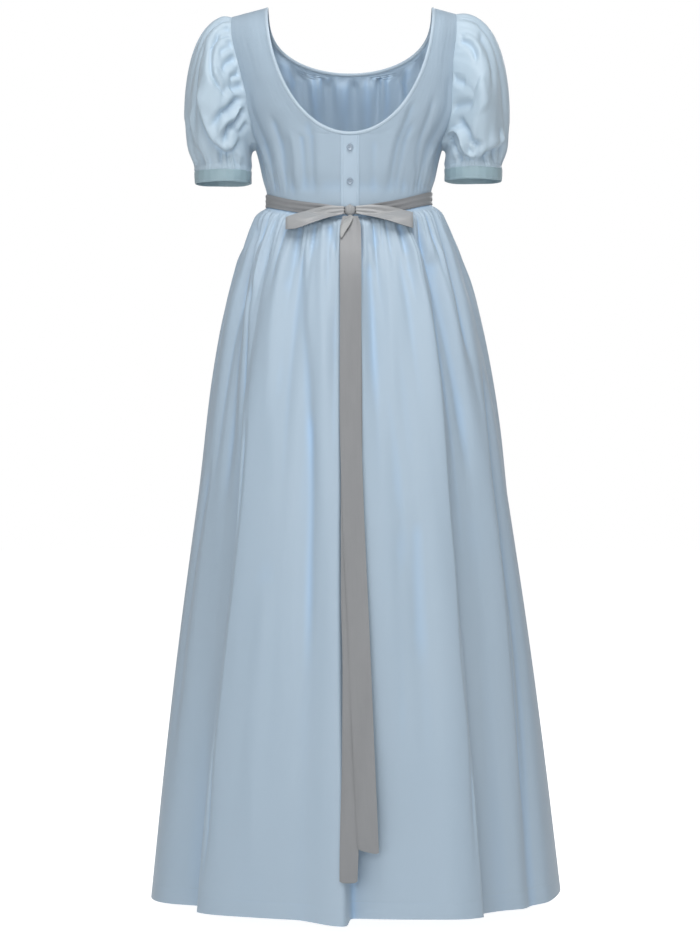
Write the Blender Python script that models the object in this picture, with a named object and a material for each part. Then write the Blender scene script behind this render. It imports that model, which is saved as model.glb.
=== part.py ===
"""A regency gown, filled out as it is when worn.

A short bodice with a scooped neck, puffed sleeves gathered into bands, a long gathered skirt and a
ribbon sash tied in a bow at the centre back.  Every piece of cloth is a closed wall.

Metres, +Z up.  The front of the gown faces -Y and the wearer's left is +X.  The origin lies midway
between the shoulders, at the height of the neck points, where the wearer holds the gown up.

Two angles run round the gown.  "turn" goes round the body: 0 is the centre back, +90 degrees the
wearer's left side and 180 degrees the centre front.  "round" goes round an armhole or a sleeve band:
0 is its top or outer side, 90 degrees its back and 180 degrees its under or inner side.
"""

import math

import bmesh
import bpy
import numpy as np

# ---------------------------------------------------------------- driving dimensions

CLOTH = 0.0015             # wall of the gown's cloth
RIBBON_WALL = 0.0010       # wall of the ribbon
GAP = 0.0003               # between neighbouring pieces
SEAM = 0.0006              # between the armhole edge and the sleeve that is sewn to it

NECK_HALF = 0.1275         # centre of the neck opening to its edge on the shoulder
NECK_BACK_DROP = 0.2035    # shoulder to the lowest point of the back neck edge
NECK_FRONT_DROP = 0.0905   # shoulder to the lowest point of the front neck edge
NECK_FRONT_SQUARE = 0.75   # below 1 the front neck edge is squarer than half an ellipse
SHOULDER_SLOPE = 0.27      # fall of the shoulder for each metre outwards
SHOULDER_ROUND = 0.055     # height over which the shoulder rounds over to its ridge
SLOPE_FADE = 0.020         # depth at which the shoulder's slope has died away
SHOULDER_LEAN = 0.055      # share by which the left shoulder is wider and the right one narrower
WAIST_LEAN = 0.012         # the same near the waist

ARMHOLE_DROP = 0.2220      # shoulder ridge to the underarm
ARMHOLE_BACK = 0.0500      # reach of the armhole behind the shoulder ridge
ARMHOLE_FRONT = 0.0486     # reach of the armhole in front of it
ARMHOLE_TOP = 3e-4         # the armhole's top corners lie this angle behind and before the ridge

WAIST_SIDE = -0.2977       # height of the high waist seam at the sides
WAIST_TILT = 0.0022        # the seam is this much lower at the left side and higher at the right
WAIST_BACK = -0.3215       # and at the centre back, where the bow draws it down
WAIST_FRONT = -0.3060      # and at the centre front

SKIRT_LENGTH = 1.0773      # waist seam to hem at the side
HEM = WAIST_SIDE - SKIRT_LENGTH
SKIRT_LEAN = 0.0090        # the hem's middle lies this far to the wearer's right
HEM_LAP_DROP = 0.0060      # the centre lap hangs this much lower
HEM_RIGHT_RISE = 0.0110    # the hem at the wearer's right side is this much higher

BINDING_WIDTH = 0.0040     # turned edge of the neck
BINDING_WALL = 0.0010
TRIM_LIFT = 0.0012         # binding to the cloth beneath it
PLACKET_LIFT = 0.0012      # placket to the cloth beneath it
PLACKET_WIDTH = 0.0280
BUTTON_RADIUS = 0.0050
BUTTON_HEIGHT = 0.0024
BUTTON_HEIGHTS = {"button_upper": -0.2260, "button_lower": -0.2765}

CUFF_HEIGHT = 0.0190
CUFF_HALF_DEPTH = 0.0480
CUFF_WALL = 0.0020

SASH_HALF = 0.0092         # half of the sash's height where it lies flat
SASH_PINCH = 0.0042        # taken off that half at the knot
SASH_PINCH_REACH = 0.030
SASH_LIFT = 0.0008         # sash to the cloth beneath it
ABOVE_SASH = 0.0104        # a line this far above the waist seam is clear of the sash

KNOT_SIZE = (0.0085, 0.0068, 0.0092)   # half width, half depth, half height
KNOT_SQUARE = 0.8          # below 1 the knot is squarer than a ball
LOOP_BULGE = 0.0110        # largest distance between a loop's two layers
LOOP_ROOT = 0.0017         # half of that distance at the knot
LOOP_CUP = 0.0010          # hollow across the ribbon of a loop
TAIL_LIFT = 0.0012         # tail to the skirt beneath it
TAIL_TOP = -0.3310         # height at which the hanging ends leave the knot
TAIL_STARTS = (0.0, 0.007, 0.014, 0.024, 0.040)   # their first facets, down from the knot
TAIL_STEP = 0.0520         # height of the facets below those

CLOTH_BLUE = (0.47, 0.58, 0.68)
BAND_BLUE = (0.44, 0.56, 0.65)
RIBBON_TAUPE = (0.33, 0.30, 0.28)
BUTTON_BLUE = (0.40, 0.47, 0.55)

QUARTER = math.pi / 2

# ---------------------------------------------------------------- tables of sections and folds

# Sections of the bodice, by height.  Depths are measured from the plane of the side seams.
TORSO = [
    dict(height=-0.345, half_width=0.1270, back_depth=0.0900, front_depth=0.0985),
    dict(height=-0.290, half_width=0.1272, back_depth=0.0902, front_depth=0.0990),
    dict(height=-0.260, half_width=0.1330, back_depth=0.0955, front_depth=0.1130),
    dict(height=-0.222, half_width=0.1425, back_depth=0.1000, front_depth=0.1230),
    dict(height=-0.190, half_width=0.1590, back_depth=0.1030, front_depth=0.1210),
    dict(height=-0.160, half_width=0.1730, back_depth=0.1050, front_depth=0.1140),
    dict(height=-0.125, half_width=0.1810, back_depth=0.1050, front_depth=0.1040),
    dict(height=-0.085, half_width=0.1900, back_depth=0.0990, front_depth=0.0940),
    dict(height=-0.045, half_width=0.1960, back_depth=0.0860, front_depth=0.0830),
    dict(height=0.000, half_width=0.1960, back_depth=0.0740, front_depth=0.0720),
]

# Sections of the skirt, by distance below the waist seam.
SKIRT = [
    dict(below=0.000, half_width=0.1270, back_depth=0.0900, front_depth=0.0985),
    dict(below=0.010, half_width=0.1276, back_depth=0.0906, front_depth=0.0992),
    dict(below=0.015, half_width=0.1350, back_depth=0.0968, front_depth=0.1056),
    dict(below=0.021, half_width=0.1400, back_depth=0.1012, front_depth=0.1102),
    dict(below=0.032, half_width=0.1452, back_depth=0.1055, front_depth=0.1145),
    dict(below=0.060, half_width=0.1565, back_depth=0.1165, front_depth=0.1245),
    dict(below=0.100, half_width=0.1700, back_depth=0.1295, front_depth=0.1355),
    dict(below=0.154, half_width=0.1870, back_depth=0.1440, front_depth=0.1480),
    dict(below=0.216, half_width=0.2010, back_depth=0.1570, front_depth=0.1600),
    dict(below=0.310, half_width=0.2180, back_depth=0.1730, front_depth=0.1760),
    dict(below=0.460, half_width=0.2395, back_depth=0.1960, front_depth=0.1980),
    dict(below=0.650, half_width=0.2665, back_depth=0.2220, front_depth=0.2240),
    dict(below=0.840, half_width=0.2905, back_depth=0.2430, front_depth=0.2440),
    dict(below=1.080, half_width=0.3170, back_depth=0.2640, front_depth=0.2650),
]

# Large folds of the skirt.  "turns" are degrees and "depths" metres at the waist, half way down and at
# the hem, and "widths" are metres at the waist and the hem.  Where "proud" is 0 the fold is a rounded
# ridge, or a valley if its depth is negative.  Otherwise it is a lap, which stands proud on the side
# that "proud" names (+1 is towards larger turn) and sinks on the other.
FOLDS = [
    dict(turns=(66, 60, 58), widths=(0.030, 0.055), depths=(-0.005, -0.012, -0.030), proud=0),
    dict(turns=(56, 46, 50), widths=(0.006, 0.010), depths=(0.003, 0.008, 0.016), proud=-1),
    dict(turns=(18, 15, 14), widths=(0.012, 0.030), depths=(-0.006, -0.007, -0.003), proud=0),
    dict(turns=(5, 4, 1.2), widths=(0.005, 0.008), depths=(0.003, 0.007, 0.020), proud=1),
    dict(turns=(-17, -22, -24), widths=(0.012, 0.030), depths=(-0.006, -0.007, -0.003), proud=0),
    dict(turns=(-30, -28, -27), widths=(0.020, 0.040), depths=(0.002, 0.004, 0.014), proud=0),
    dict(turns=(-39, -37, -36), widths=(0.006, 0.009), depths=(0.004, 0.009, 0.012), proud=1),
    dict(turns=(-52, -50, -48), widths=(0.024, 0.045), depths=(-0.006, -0.010, -0.014), proud=0),
    dict(turns=(-78, -70, -61), widths=(0.012, 0.022), depths=(-0.006, -0.009, -0.012), proud=0),
    dict(turns=(104, 106, 108), widths=(0.018, 0.035), depths=(-0.006, -0.010, -0.016), proud=0),
    dict(turns=(128, 131, 133), widths=(0.007, 0.012), depths=(0.003, 0.008, 0.014), proud=1),
    dict(turns=(152, 154, 155), widths=(0.016, 0.034), depths=(-0.006, -0.009, -0.014), proud=0),
    dict(turns=(176, 175, 173), widths=(0.018, 0.040), depths=(0.004, 0.008, 0.015), proud=0),
    dict(turns=(197, 198, 200), widths=(0.007, 0.011), depths=(0.003, 0.008, 0.013), proud=-1),
    dict(turns=(219, 217, 216), widths=(0.016, 0.036), depths=(-0.006, -0.010, -0.015), proud=0),
    dict(turns=(244, 243, 241), widths=(0.018, 0.040), depths=(-0.005, -0.009, -0.014), proud=0),
]

# Gathers.  "count" is how many go round and "height" half of a wave's height.  They rise over the
# distances from the seam in "begins" and die away over those in "ends".  "sway" is how unevenly they
# are spaced.
GATHERS = {
    "front_waist": dict(count=30, height=0.0022, begins=(ABOVE_SASH, 0.030), ends=(0.050, 0.170), sway=1.2),
    "front_neck": dict(count=30, height=0.0022, begins=(0.008, 0.022), ends=(0.035, 0.110), sway=1.2),
    "side_waist": dict(count=21, height=0.0016, begins=(ABOVE_SASH, 0.030), ends=(0.050, 0.170), sway=1.0),
    "cap": dict(count=17, height=0.0034, begins=(0.00, 0.07), ends=(0.12, 0.45), sway=0.9),
    "band": dict(count=19, height=0.0024, begins=(0.62, 0.90), ends=(0.90, 1.05), sway=0.8),
    "billow": dict(count=5, height=0.0022, begins=(0.00, 0.50), ends=(0.50, 1.00), sway=0.2),
    "skirt_fine": dict(count=40, height=0.0027, begins=(0.010, 0.026), ends=(0.050, 0.190), sway=1.3),
    "skirt_broad": dict(count=19, height=0.0034, begins=(0.016, 0.090), ends=(0.140, 0.520), sway=0.9),
}

# Rows of the bodice's pieces, as a level from the waist seam (0) to the shoulder seam (1) and a count
# of facets across one half.  "underarm" and "neck" are where the armhole and the neck edge begin.
BACK_CUT = dict(
    underarm=0.36,
    neck=0.36,
    rows=[
        (0.00, 14), (0.05, 14), (0.14, 14), (0.25, 14), (0.36, 12), (0.45, 10), (0.54, 10), (0.63, 8),
        (0.72, 7), (0.80, 6), (0.87, 5), (0.94, 4), (1.00, 4),
    ],
)
FRONT_CUT = dict(
    underarm=0.36,
    neck=0.66,
    rows=[
        (0.00, 19), (0.05, 19), (0.14, 19), (0.25, 19), (0.36, 19), (0.46, 19), (0.55, 19), (0.61, 19),
        (0.66, 19), (0.69, 13), (0.73, 9), (0.78, 7), (0.84, 5), (0.885, 4), (0.92, 4), (0.96, 4),
        (1.00, 4),
    ],
)

# Where the sleeves are held: middle of the band, height of its top edge and half its width.
SLEEVES = {
    "left": dict(side=1, middle=0.1965, band_top=-0.2540, half_width=0.0440),
    "right": dict(side=-1, middle=0.1910, band_top=-0.2500, half_width=0.0445),
}

# Rings of a sleeve, as a share of the way down it and a count of facets.
SLEEVE_ROWS = [
    (0.00, 48), (0.06, 48), (0.14, 48), (0.28, 36), (0.45, 36), (0.62, 36), (0.78, 44), (0.91, 48),
    (1.00, 48),
]

# Puff of each sleeve, at its top, its sides and beneath: how far its two control points stand off the
# armhole ("start") and off the band ("end"), each as (outwards, sideways, upwards).
PUFF = {
    "left": [
        dict(place="top", start=(0.082, 0.000, 0.003), end=(0.026, 0.000, 0.030)),
        dict(place="side", start=(0.056, 0.046, 0.000), end=(0.000, 0.032, 0.060)),
        dict(place="under", start=(0.013, 0.000, 0.001), end=(-0.0035, 0.000, 0.011)),
    ],
    "right": [
        dict(place="top", start=(0.102, 0.000, 0.011), end=(0.014, 0.000, 0.014)),
        dict(place="side", start=(0.060, 0.046, 0.000), end=(0.000, 0.032, 0.060)),
        dict(place="under", start=(0.013, 0.000, 0.001), end=(-0.0035, 0.000, 0.011)),
    ],
}

# The hanging ribbon ends: middle of the ribbon, by height, and half its width there.
TAIL_LONG = [
    dict(height=-1.3185, middle=0.0022, half_width=0.0131),
    dict(height=-1.2500, middle=0.0006, half_width=0.0140),
    dict(height=-1.1450, middle=-0.0033, half_width=0.0152),
    dict(height=-1.0050, middle=-0.0046, half_width=0.0156),
    dict(height=-0.9010, middle=-0.0025, half_width=0.0158),
    dict(height=-0.6180, middle=-0.0022, half_width=0.0158),
    dict(height=-0.3860, middle=-0.0004, half_width=0.0158),
    dict(height=-0.3460, middle=-0.0004, half_width=0.0150),
    dict(height=-0.3310, middle=-0.0005, half_width=0.0110),
]
TAIL_SHORT = [
    dict(height=-1.2740, middle=-0.0266, half_width=0.0157),
    dict(height=-1.1100, middle=-0.0193, half_width=0.0158),
    dict(height=-0.9710, middle=-0.0135, half_width=0.0160),
    dict(height=-0.8310, middle=-0.0070, half_width=0.0160),
    dict(height=-0.7600, middle=-0.0041, half_width=0.0160),
    dict(height=-0.6180, middle=-0.0006, half_width=0.0160),
    dict(height=-0.3860, middle=-0.0012, half_width=0.0160),
    dict(height=-0.3460, middle=-0.0012, half_width=0.0153),
    dict(height=-0.3310, middle=-0.0005, half_width=0.0114),
]

# Bow loops, from knot to tip: distance out, height of the ribbon's middle, half its width.
LOOP_LEFT = [
    dict(out=0.0094, height=-0.3215, half_width=0.0058),
    dict(out=0.0300, height=-0.3235, half_width=0.0088),
    dict(out=0.0560, height=-0.3300, half_width=0.0110),
    dict(out=0.0800, height=-0.3375, half_width=0.0118),
    dict(out=0.0980, height=-0.3415, half_width=0.0095),
]
LOOP_RIGHT = [
    dict(out=0.0094, height=-0.3210, half_width=0.0058),
    dict(out=0.0300, height=-0.3220, half_width=0.0086),
    dict(out=0.0560, height=-0.3260, half_width=0.0112),
    dict(out=0.0800, height=-0.3320, half_width=0.0125),
    dict(out=0.0960, height=-0.3365, half_width=0.0125),
]


# ---------------------------------------------------------------- small tools

def column(rows, name):
    """One named column of a table."""
    return np.array([row[name] for row in rows])


def curve(rows, by, name, at):
    """A column read at any value of the column "by", on a smooth curve through the rows."""
    knots = column(rows, by)
    values = column(rows, name)
    at = np.clip(at, knots[0], knots[-1])
    steps = np.diff(knots)
    rises = np.diff(values) / steps
    # the harmonic mean of the slopes on both sides keeps the curve from swinging past its rows
    same = rises[1:] * rises[:-1] > 0
    before = np.where(same, rises[:-1], 1.0)
    after = np.where(same, rises[1:], 1.0)
    near = 2 * steps[1:] + steps[:-1]
    far = steps[1:] + 2 * steps[:-1]
    inner = np.where(same, (near + far) / (near / before + far / after), 0.0)
    slopes = np.concatenate([rises[:1], inner, rises[-1:]])
    k = np.clip(np.searchsorted(knots, at, side="right") - 1, 0, len(knots) - 2)
    span = knots[k + 1] - knots[k]
    f = (at - knots[k]) / span
    start = values[k] * (1 + 2 * f) * (1 - f) ** 2 + slopes[k] * span * f * (1 - f) ** 2
    end = values[k + 1] * f * f * (3 - 2 * f) + slopes[k + 1] * span * f * f * (f - 1)
    return start + end


def ease(value, start, end):
    """0 before start, 1 after end and a smooth rise between them."""
    f = np.clip((value - start) / (end - start), 0.0, 1.0)
    return f * f * (3 - 2 * f)


def wrap(angle):
    """An angle brought between -180 and +180 degrees, in radians."""
    return (angle + math.pi) % (2 * math.pi) - math.pi


def stack(x, y, z):
    """Three coordinates as an array of points."""
    return np.stack(np.broadcast_arrays(x, y, z), axis=-1)


def unit(vectors):
    """Vectors scaled to length one."""
    return vectors / np.linalg.norm(vectors, axis=-1, keepdims=True)


def normal_of(surface, first, second, step=1e-4):
    """Normal of a surface given by two coordinates, from its two directions."""
    along = surface(first + step, second) - surface(first - step, second)
    across = surface(first, second + step) - surface(first, second - step)
    return unit(np.cross(along, across))


# ---------------------------------------------------------------- closed walls

def strip(first, second, points):
    """Triangles between two rows of corner numbers, which may hold different counts."""
    triangles = []
    i = 0
    j = 0
    while i < len(first) - 1 or j < len(second) - 1:
        reach_first = (i + 1) / (len(first) - 1)
        reach_second = (j + 1) / (len(second) - 1)
        if i == len(first) - 1:
            take_first = False
        elif j == len(second) - 1:
            take_first = True
        elif abs(reach_first - reach_second) < 1e-9:
            one = np.linalg.norm(points[first[i + 1]] - points[second[j]])
            other = np.linalg.norm(points[first[i]] - points[second[j + 1]])
            take_first = one < other
        else:
            take_first = reach_first < reach_second
        if take_first:
            triangles.append((first[i], first[i + 1], second[j]))
            i += 1
        else:
            triangles.append((first[i], second[j + 1], second[j]))
            j += 1
    return triangles


def number_rows(rows, closed=False):
    """Corner numbers for rows of points laid one after another."""
    corners = []
    start = 0
    for row in rows:
        numbers = list(range(start, start + len(row)))
        start += len(row)
        if closed:
            numbers.append(numbers[0])
        corners.append(numbers)
    return corners


def between(corners, points):
    """Triangles between each row of corner numbers and the next."""
    triangles = []
    for first, second in zip(corners, corners[1:]):
        triangles += strip(first, second, points)
    return triangles


def thicken(name, outer, inner, triangles, finish):
    """A closed body between an outer and an inner face that share their triangles."""
    shift = len(outer)
    faces = list(triangles)
    faces += [(c + shift, b + shift, a + shift) for a, b, c in triangles]
    edges = {}
    for a, b, c in triangles:
        for start, end in ((a, b), (b, c), (c, a)):
            edges[(start, end)] = True
    for start, end in edges:
        if (end, start) in edges:
            continue
        one = np.linalg.norm(outer[end] - inner[start])
        other = np.linalg.norm(outer[start] - inner[end])
        if one < other:
            faces.append((end, start, start + shift))
            faces.append((end, start + shift, end + shift))
        else:
            faces.append((end, start, end + shift))
            faces.append((start, start + shift, end + shift))
    return body(name, np.concatenate([outer, inner]), faces, finish)


def wall(name, outer_rows, inner_rows, finish, closed=False):
    """A closed body between an outer and an inner face, each given as rows of points."""
    outer = np.concatenate(outer_rows)
    inner = np.concatenate(inner_rows)
    return thicken(name, outer, inner, between(number_rows(outer_rows, closed), outer), finish)


def body(name, points, faces, look):
    """A mesh object from points and faces, closed, faces out and shaded smooth."""
    mesh = bpy.data.meshes.new(name)
    built = bmesh.new()
    corners = [built.verts.new(point) for point in points]
    for face in faces:
        built.faces.new([corners[k] for k in face])
    bmesh.ops.recalc_face_normals(built, faces=built.faces)
    built.to_mesh(mesh)
    built.free()
    mesh.shade_smooth()
    mesh.set_sharp_from_angle(angle=math.radians(50))
    mesh.materials.append(look)
    piece = bpy.data.objects.new(name, mesh)
    bpy.context.scene.collection.objects.link(piece)
    return piece


def look(name, colour, roughness):
    """A plain cloth finish."""
    material = bpy.data.materials.new(name)
    material.use_nodes = True
    shader = material.node_tree.nodes["Principled BSDF"]
    shader.inputs["Base Color"].default_value = (*colour, 1.0)
    shader.inputs["Roughness"].default_value = roughness
    shader.inputs["Metallic"].default_value = 0.0
    return material


# ---------------------------------------------------------------- the bodice

def waist(turn):
    """Height of the waist seam."""
    drop = np.where(np.cos(turn) > 0, WAIST_BACK - WAIST_SIDE, WAIST_FRONT - WAIST_SIDE)
    return WAIST_SIDE - WAIST_TILT * np.sin(turn) + drop * np.cos(turn) ** 2


def torso_half_width(height, turn):
    """Half width of the bodice's form, a little wider at the wearer's left shoulder."""
    lean = SHOULDER_LEAN * ease(height, -0.170, -0.050) + WAIST_LEAN * ease(height, -0.170, -0.220)
    return curve(TORSO, "height", "half_width", height) * (1 + lean * np.sign(np.sin(turn)))


def torso_depth(height, turn):
    """Depth of the form behind or in front of the side seams, rounding over at the shoulder."""
    back = curve(TORSO, "height", "back_depth", height)
    front = curve(TORSO, "height", "front_depth", height)
    rounding = np.sqrt(1 - (1 - np.clip(-height / SHOULDER_ROUND, 0, 1)) ** 2)
    return np.where(np.cos(turn) > 0, back, front) * rounding


def torso_form(turn, root):
    """The bodice's form without gathers.  root is the square root of the depth below the shoulder."""
    height = -root ** 2
    x = torso_half_width(height, turn) * np.sin(turn)
    y = torso_depth(height, turn) * np.cos(turn)
    slope = SHOULDER_SLOPE * (NECK_HALF - np.abs(x)) * np.exp(height / SLOPE_FADE)
    return stack(x, y, height + slope)


def gathers(name, angle, distance):
    """Height of a row of gathers at an angle round the gown and a distance from its seam."""
    row = GATHERS[name]
    wave = np.cos(row["count"] * angle + row["sway"] * np.sin(3 * angle + row["sway"]))
    return row["height"] * wave * ease(distance, *row["begins"]) * (1 - ease(distance, *row["ends"]))


def bodice_gathers(turn, root):
    """Height of the bodice's gathers above its form: from the waist and from the front neck edge."""
    height = -root ** 2
    above = height - waist(turn)
    front = ease(-np.cos(turn), 0.10, 0.60)
    side = ease(np.abs(np.sin(turn)), 0.45, 0.80) * (1 - front)
    reach = np.clip(np.sin(turn) * torso_half_width(height, turn) / NECK_HALF, -1, 1)
    neck = -NECK_FRONT_DROP * (1 - reach ** 2) ** (NECK_FRONT_SQUARE / 2)
    front_height = gathers("front_waist", turn, above) + gathers("front_neck", turn, neck - height)
    return front * front_height + side * gathers("side_waist", turn, above)


def torso(turn, root, lift=0.0):
    """Outer face of the bodice, moved out by lift."""
    out = normal_of(torso_form, turn, root)
    return torso_form(turn, root) + out * (bodice_gathers(turn, root) + lift)[..., None]


def neck_edge(swing, side, front, width):
    """Turn and height of the neck edge, or of a line a width outside it.

    swing is 0 at the centre and 90 degrees at the shoulder; the turn is counted from the centre.
    """
    drop = NECK_FRONT_DROP if front else NECK_BACK_DROP
    square = NECK_FRONT_SQUARE if front else 1.0
    height = -(drop + width) * np.clip(np.cos(swing), 0, 1) ** square
    reach = (NECK_HALF + width) * np.sin(swing)
    wide = torso_half_width(height, side * QUARTER)
    return np.arcsin(np.clip(reach / wide, 0, 1)), height


def armhole_edge(round_angle):
    """Distance behind the ridge and height of a point of the armhole edge."""
    reach = np.where(np.sin(round_angle) > 0, ARMHOLE_BACK, ARMHOLE_FRONT)
    height = -ARMHOLE_DROP * (1 - np.cos(round_angle)) / 2
    return reach * np.sin(round_angle), height


def armhole_turn(round_angle):
    """Turn, on the wearer's left, and height root of a point of the armhole edge."""
    corner = np.where(np.asarray(round_angle) < 0, -ARMHOLE_TOP, ARMHOLE_TOP)
    behind, height = armhole_edge(np.where(np.abs(round_angle) < ARMHOLE_TOP, corner, round_angle))
    root = np.sqrt(np.clip(-height, 1e-10, None))
    depth = torso_depth(-root ** 2, np.where(behind > 0, 0.0, math.pi))
    return np.arccos(np.clip(behind / depth, -1, 1)), root


def bodice_row(level, count, side, front, lift, shift=(0, 0, 0)):
    """A row of points across a bodice half, from the side seam or armhole to the centre or neck edge.

    level is 0 at the waist seam and 1 at the shoulder seam.
    """
    cut = FRONT_CUT if front else BACK_CUT
    facing = math.pi if front else 0.0

    # the outer end: up the side seam, then round the armhole
    climb = max((level - cut["underarm"]) / (1 - cut["underarm"]), 0.0)
    seam = min(level / cut["underarm"], 1.0)
    if climb > 0:
        round_angle = max(math.pi * (1 - climb), ARMHOLE_TOP)
        outer_turn, outer_root = armhole_turn(np.array(-round_angle if front else round_angle))
        outer_turn = facing - outer_turn if front else outer_turn
    else:
        outer_turn = QUARTER
        outer_root = 0.0
    outer_top = -outer_root ** 2 if climb > 0 else -ARMHOLE_DROP

    # the inner end: up the centre, then round the neck edge
    climb = max((level - cut["neck"]) / (1 - cut["neck"]), 0.0)
    rise = min(level / cut["neck"], 1.0)
    swing = QUARTER * math.sin(QUARTER * climb)
    inner_turn, inner_top = neck_edge(swing, side, front, 0.0)

    share = np.linspace(0, 1, count + 1)
    turn = outer_turn + (inner_turn - outer_turn) * share
    turn = np.clip(turn, 1e-6, None)
    bottom = waist(side * (facing - turn if front else turn))
    outer_height = bottom + (outer_top - bottom) * seam
    inner_height = bottom + (inner_top - bottom) * rise
    height = outer_height + (inner_height - outer_height) * share
    root = np.sqrt(np.clip(-height, 1e-8, None))
    return torso(side * (facing - turn if front else turn), root, lift) + np.array(shift)


def bodice_back(name, side, finish):
    """One half of the bodice's back."""
    shift = (side * GAP / 2, GAP / 2, 0)
    faces = []
    for lift in (0.0, -CLOTH):
        rows = [bodice_row(level, count, side, False, lift, shift) for level, count in BACK_CUT["rows"]]
        faces.append(rows)
    return wall(name, faces[0], faces[1], finish)


def bodice_front(name, finish):
    """The bodice's front, one piece from side seam to side seam, with a strap on each side."""
    shift = (0, -GAP / 2, 0)
    full = [row for row in FRONT_CUT["rows"] if row[0] <= FRONT_CUT["neck"]]
    straps = [row for row in FRONT_CUT["rows"] if row[0] > FRONT_CUT["neck"]]
    faces = []
    for lift in (0.0, -CLOTH):
        rows = []
        for level, count in full:
            left = bodice_row(level, count, 1, True, lift, shift)
            right = bodice_row(level, count, -1, True, lift, shift)
            rows.append(np.concatenate([left[:-1], right[::-1]]))
        for level, count in straps:
            rows.append(bodice_row(level, count, 1, True, lift, shift))
        for level, count in straps:
            rows.append(bodice_row(level, count, -1, True, lift, shift)[::-1])
        faces.append(rows)
    outer = np.concatenate(faces[0])
    inner = np.concatenate(faces[1])
    corners = number_rows(faces[0])
    body_rows = corners[:len(full)]
    left_rows = corners[len(full):len(full) + len(straps)]
    right_rows = corners[len(full) + len(straps):]
    middle = full[-1][1]
    triangles = between(body_rows, outer)
    triangles += between([body_rows[-1][:middle + 1]] + left_rows, outer)
    triangles += between([body_rows[-1][middle:]] + right_rows, outer)
    return thicken(name, outer, inner, triangles, finish)


def neck_swings(front):
    """Angles of the neck edge at the rows of the bodice, from the centre to the shoulder."""
    cut = FRONT_CUT if front else BACK_CUT
    rows = np.array([level for level, _ in cut["rows"] if level >= cut["neck"]])
    steps = 3 if front else 2
    levels = np.interp(np.arange(steps * (len(rows) - 1) + 1) / steps, np.arange(len(rows)), rows)
    return QUARTER * np.sin(QUARTER * (levels - cut["neck"]) / (1 - cut["neck"]))


def neck_binding(name, finish):
    """The turned edge that lies along the whole neck opening."""
    quarters = [(1, False, 1), (1, True, -1), (-1, True, 1), (-1, False, -1)]
    faces = []
    for lift in (TRIM_LIFT + BINDING_WALL, TRIM_LIFT):
        rows = []
        for width in (0.0, BINDING_WIDTH):
            ring = []
            for side, front, order in quarters:
                swing = neck_swings(front)
                turn, height = neck_edge(swing, side, front, width)
                facing = math.pi if front else 0.0
                root = np.sqrt(np.clip(-height, 1e-8, None))
                turn = np.clip(turn, 1e-6, None)
                points = torso(side * (facing - turn if front else turn), root, lift)
                ring.append(points[::order][:-1])
            rows.append(np.concatenate(ring))
        faces.append(rows)
    return wall(name, faces[0], faces[1], finish, closed=True)


def placket(name, finish):
    """The lapped strip down the centre back, which the buttons are on."""
    reach = np.linspace(-PLACKET_WIDTH / 2, PLACKET_WIDTH / 2, 5)
    turn = np.arcsin(reach / curve(TORSO, "height", "half_width", -NECK_BACK_DROP))
    fall = np.sqrt(1 - (reach / NECK_HALF) ** 2)
    top = -(NECK_BACK_DROP + BINDING_WIDTH) * fall - 2 * GAP
    foot = waist(turn) + sash_half(turn) + 3 * GAP
    faces = []
    for lift in (PLACKET_LIFT + CLOTH, PLACKET_LIFT):
        rows = []
        for share in np.linspace(0, 1, 10):
            height = top + (foot - top) * share
            angle = np.arcsin(reach / curve(TORSO, "height", "half_width", height))
            rows.append(torso(angle, np.sqrt(-height), lift))
        faces.append(rows)
    return wall(name, faces[0], faces[1], finish)


def button(name, height, finish):
    """A round button with a dished face, on the placket."""
    profile = [
        (0.00, 0.00), (0.72, 0.00), (1.00, 0.22), (1.00, 0.62), (0.84, 1.00), (0.62, 0.86), (0.00, 0.74),
    ]
    seat = torso(np.array([1e-6]), np.array([math.sqrt(-height)]), PLACKET_LIFT + CLOTH + 2 * GAP)[0]
    out = normal_of(torso_form, np.array([1e-6]), np.array([math.sqrt(-height)]))[0]
    across = np.array([1.0, 0.0, 0.0])
    up = np.cross(out, across)
    sides = 14
    points = [seat]
    faces = []
    for radius, rise in profile[1:-1]:
        for k in range(sides):
            angle = 2 * math.pi * k / sides
            spoke = across * math.cos(angle) + up * math.sin(angle)
            points.append(seat + spoke * radius * BUTTON_RADIUS + out * rise * BUTTON_HEIGHT)
    points.append(seat + out * profile[-1][1] * BUTTON_HEIGHT)
    for k in range(sides):
        after = (k + 1) % sides
        faces.append((0, 1 + after, 1 + k))
        for ring in range(len(profile) - 3):
            low = 1 + ring * sides
            faces.append((low + k, low + after, low + sides + after, low + sides + k))
        last = 1 + (len(profile) - 3) * sides
        faces.append((last + k, last + after, len(points) - 1))
    return body(name, points, faces, finish)


# ---------------------------------------------------------------- the sleeves

def blend_round(puff, name, round_angle):
    """A column of a puff table read at any angle round the sleeve."""
    top, side, under = column(puff, name)
    swing = np.cos(np.asarray(round_angle))[..., None]
    return side + (top - under) / 2 * swing + ((top + under) / 2 - side) * swing ** 2


def armhole_corners(side):
    """Corners of the armhole edge, at the rows of the bodice, and their angles round the sleeve."""
    angles = []
    for cut, way in ((BACK_CUT, 1), (FRONT_CUT, -1)):
        for level, _ in cut["rows"]:
            if level >= cut["underarm"]:
                climb = (level - cut["underarm"]) / (1 - cut["underarm"])
                angles.append(way * max(math.pi * (1 - climb), ARMHOLE_TOP))
    angles = np.array(sorted(set(angles)))
    turn, root = armhole_turn(angles)
    return angles, torso_form(side * np.clip(turn, 1e-6, None), root)


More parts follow.
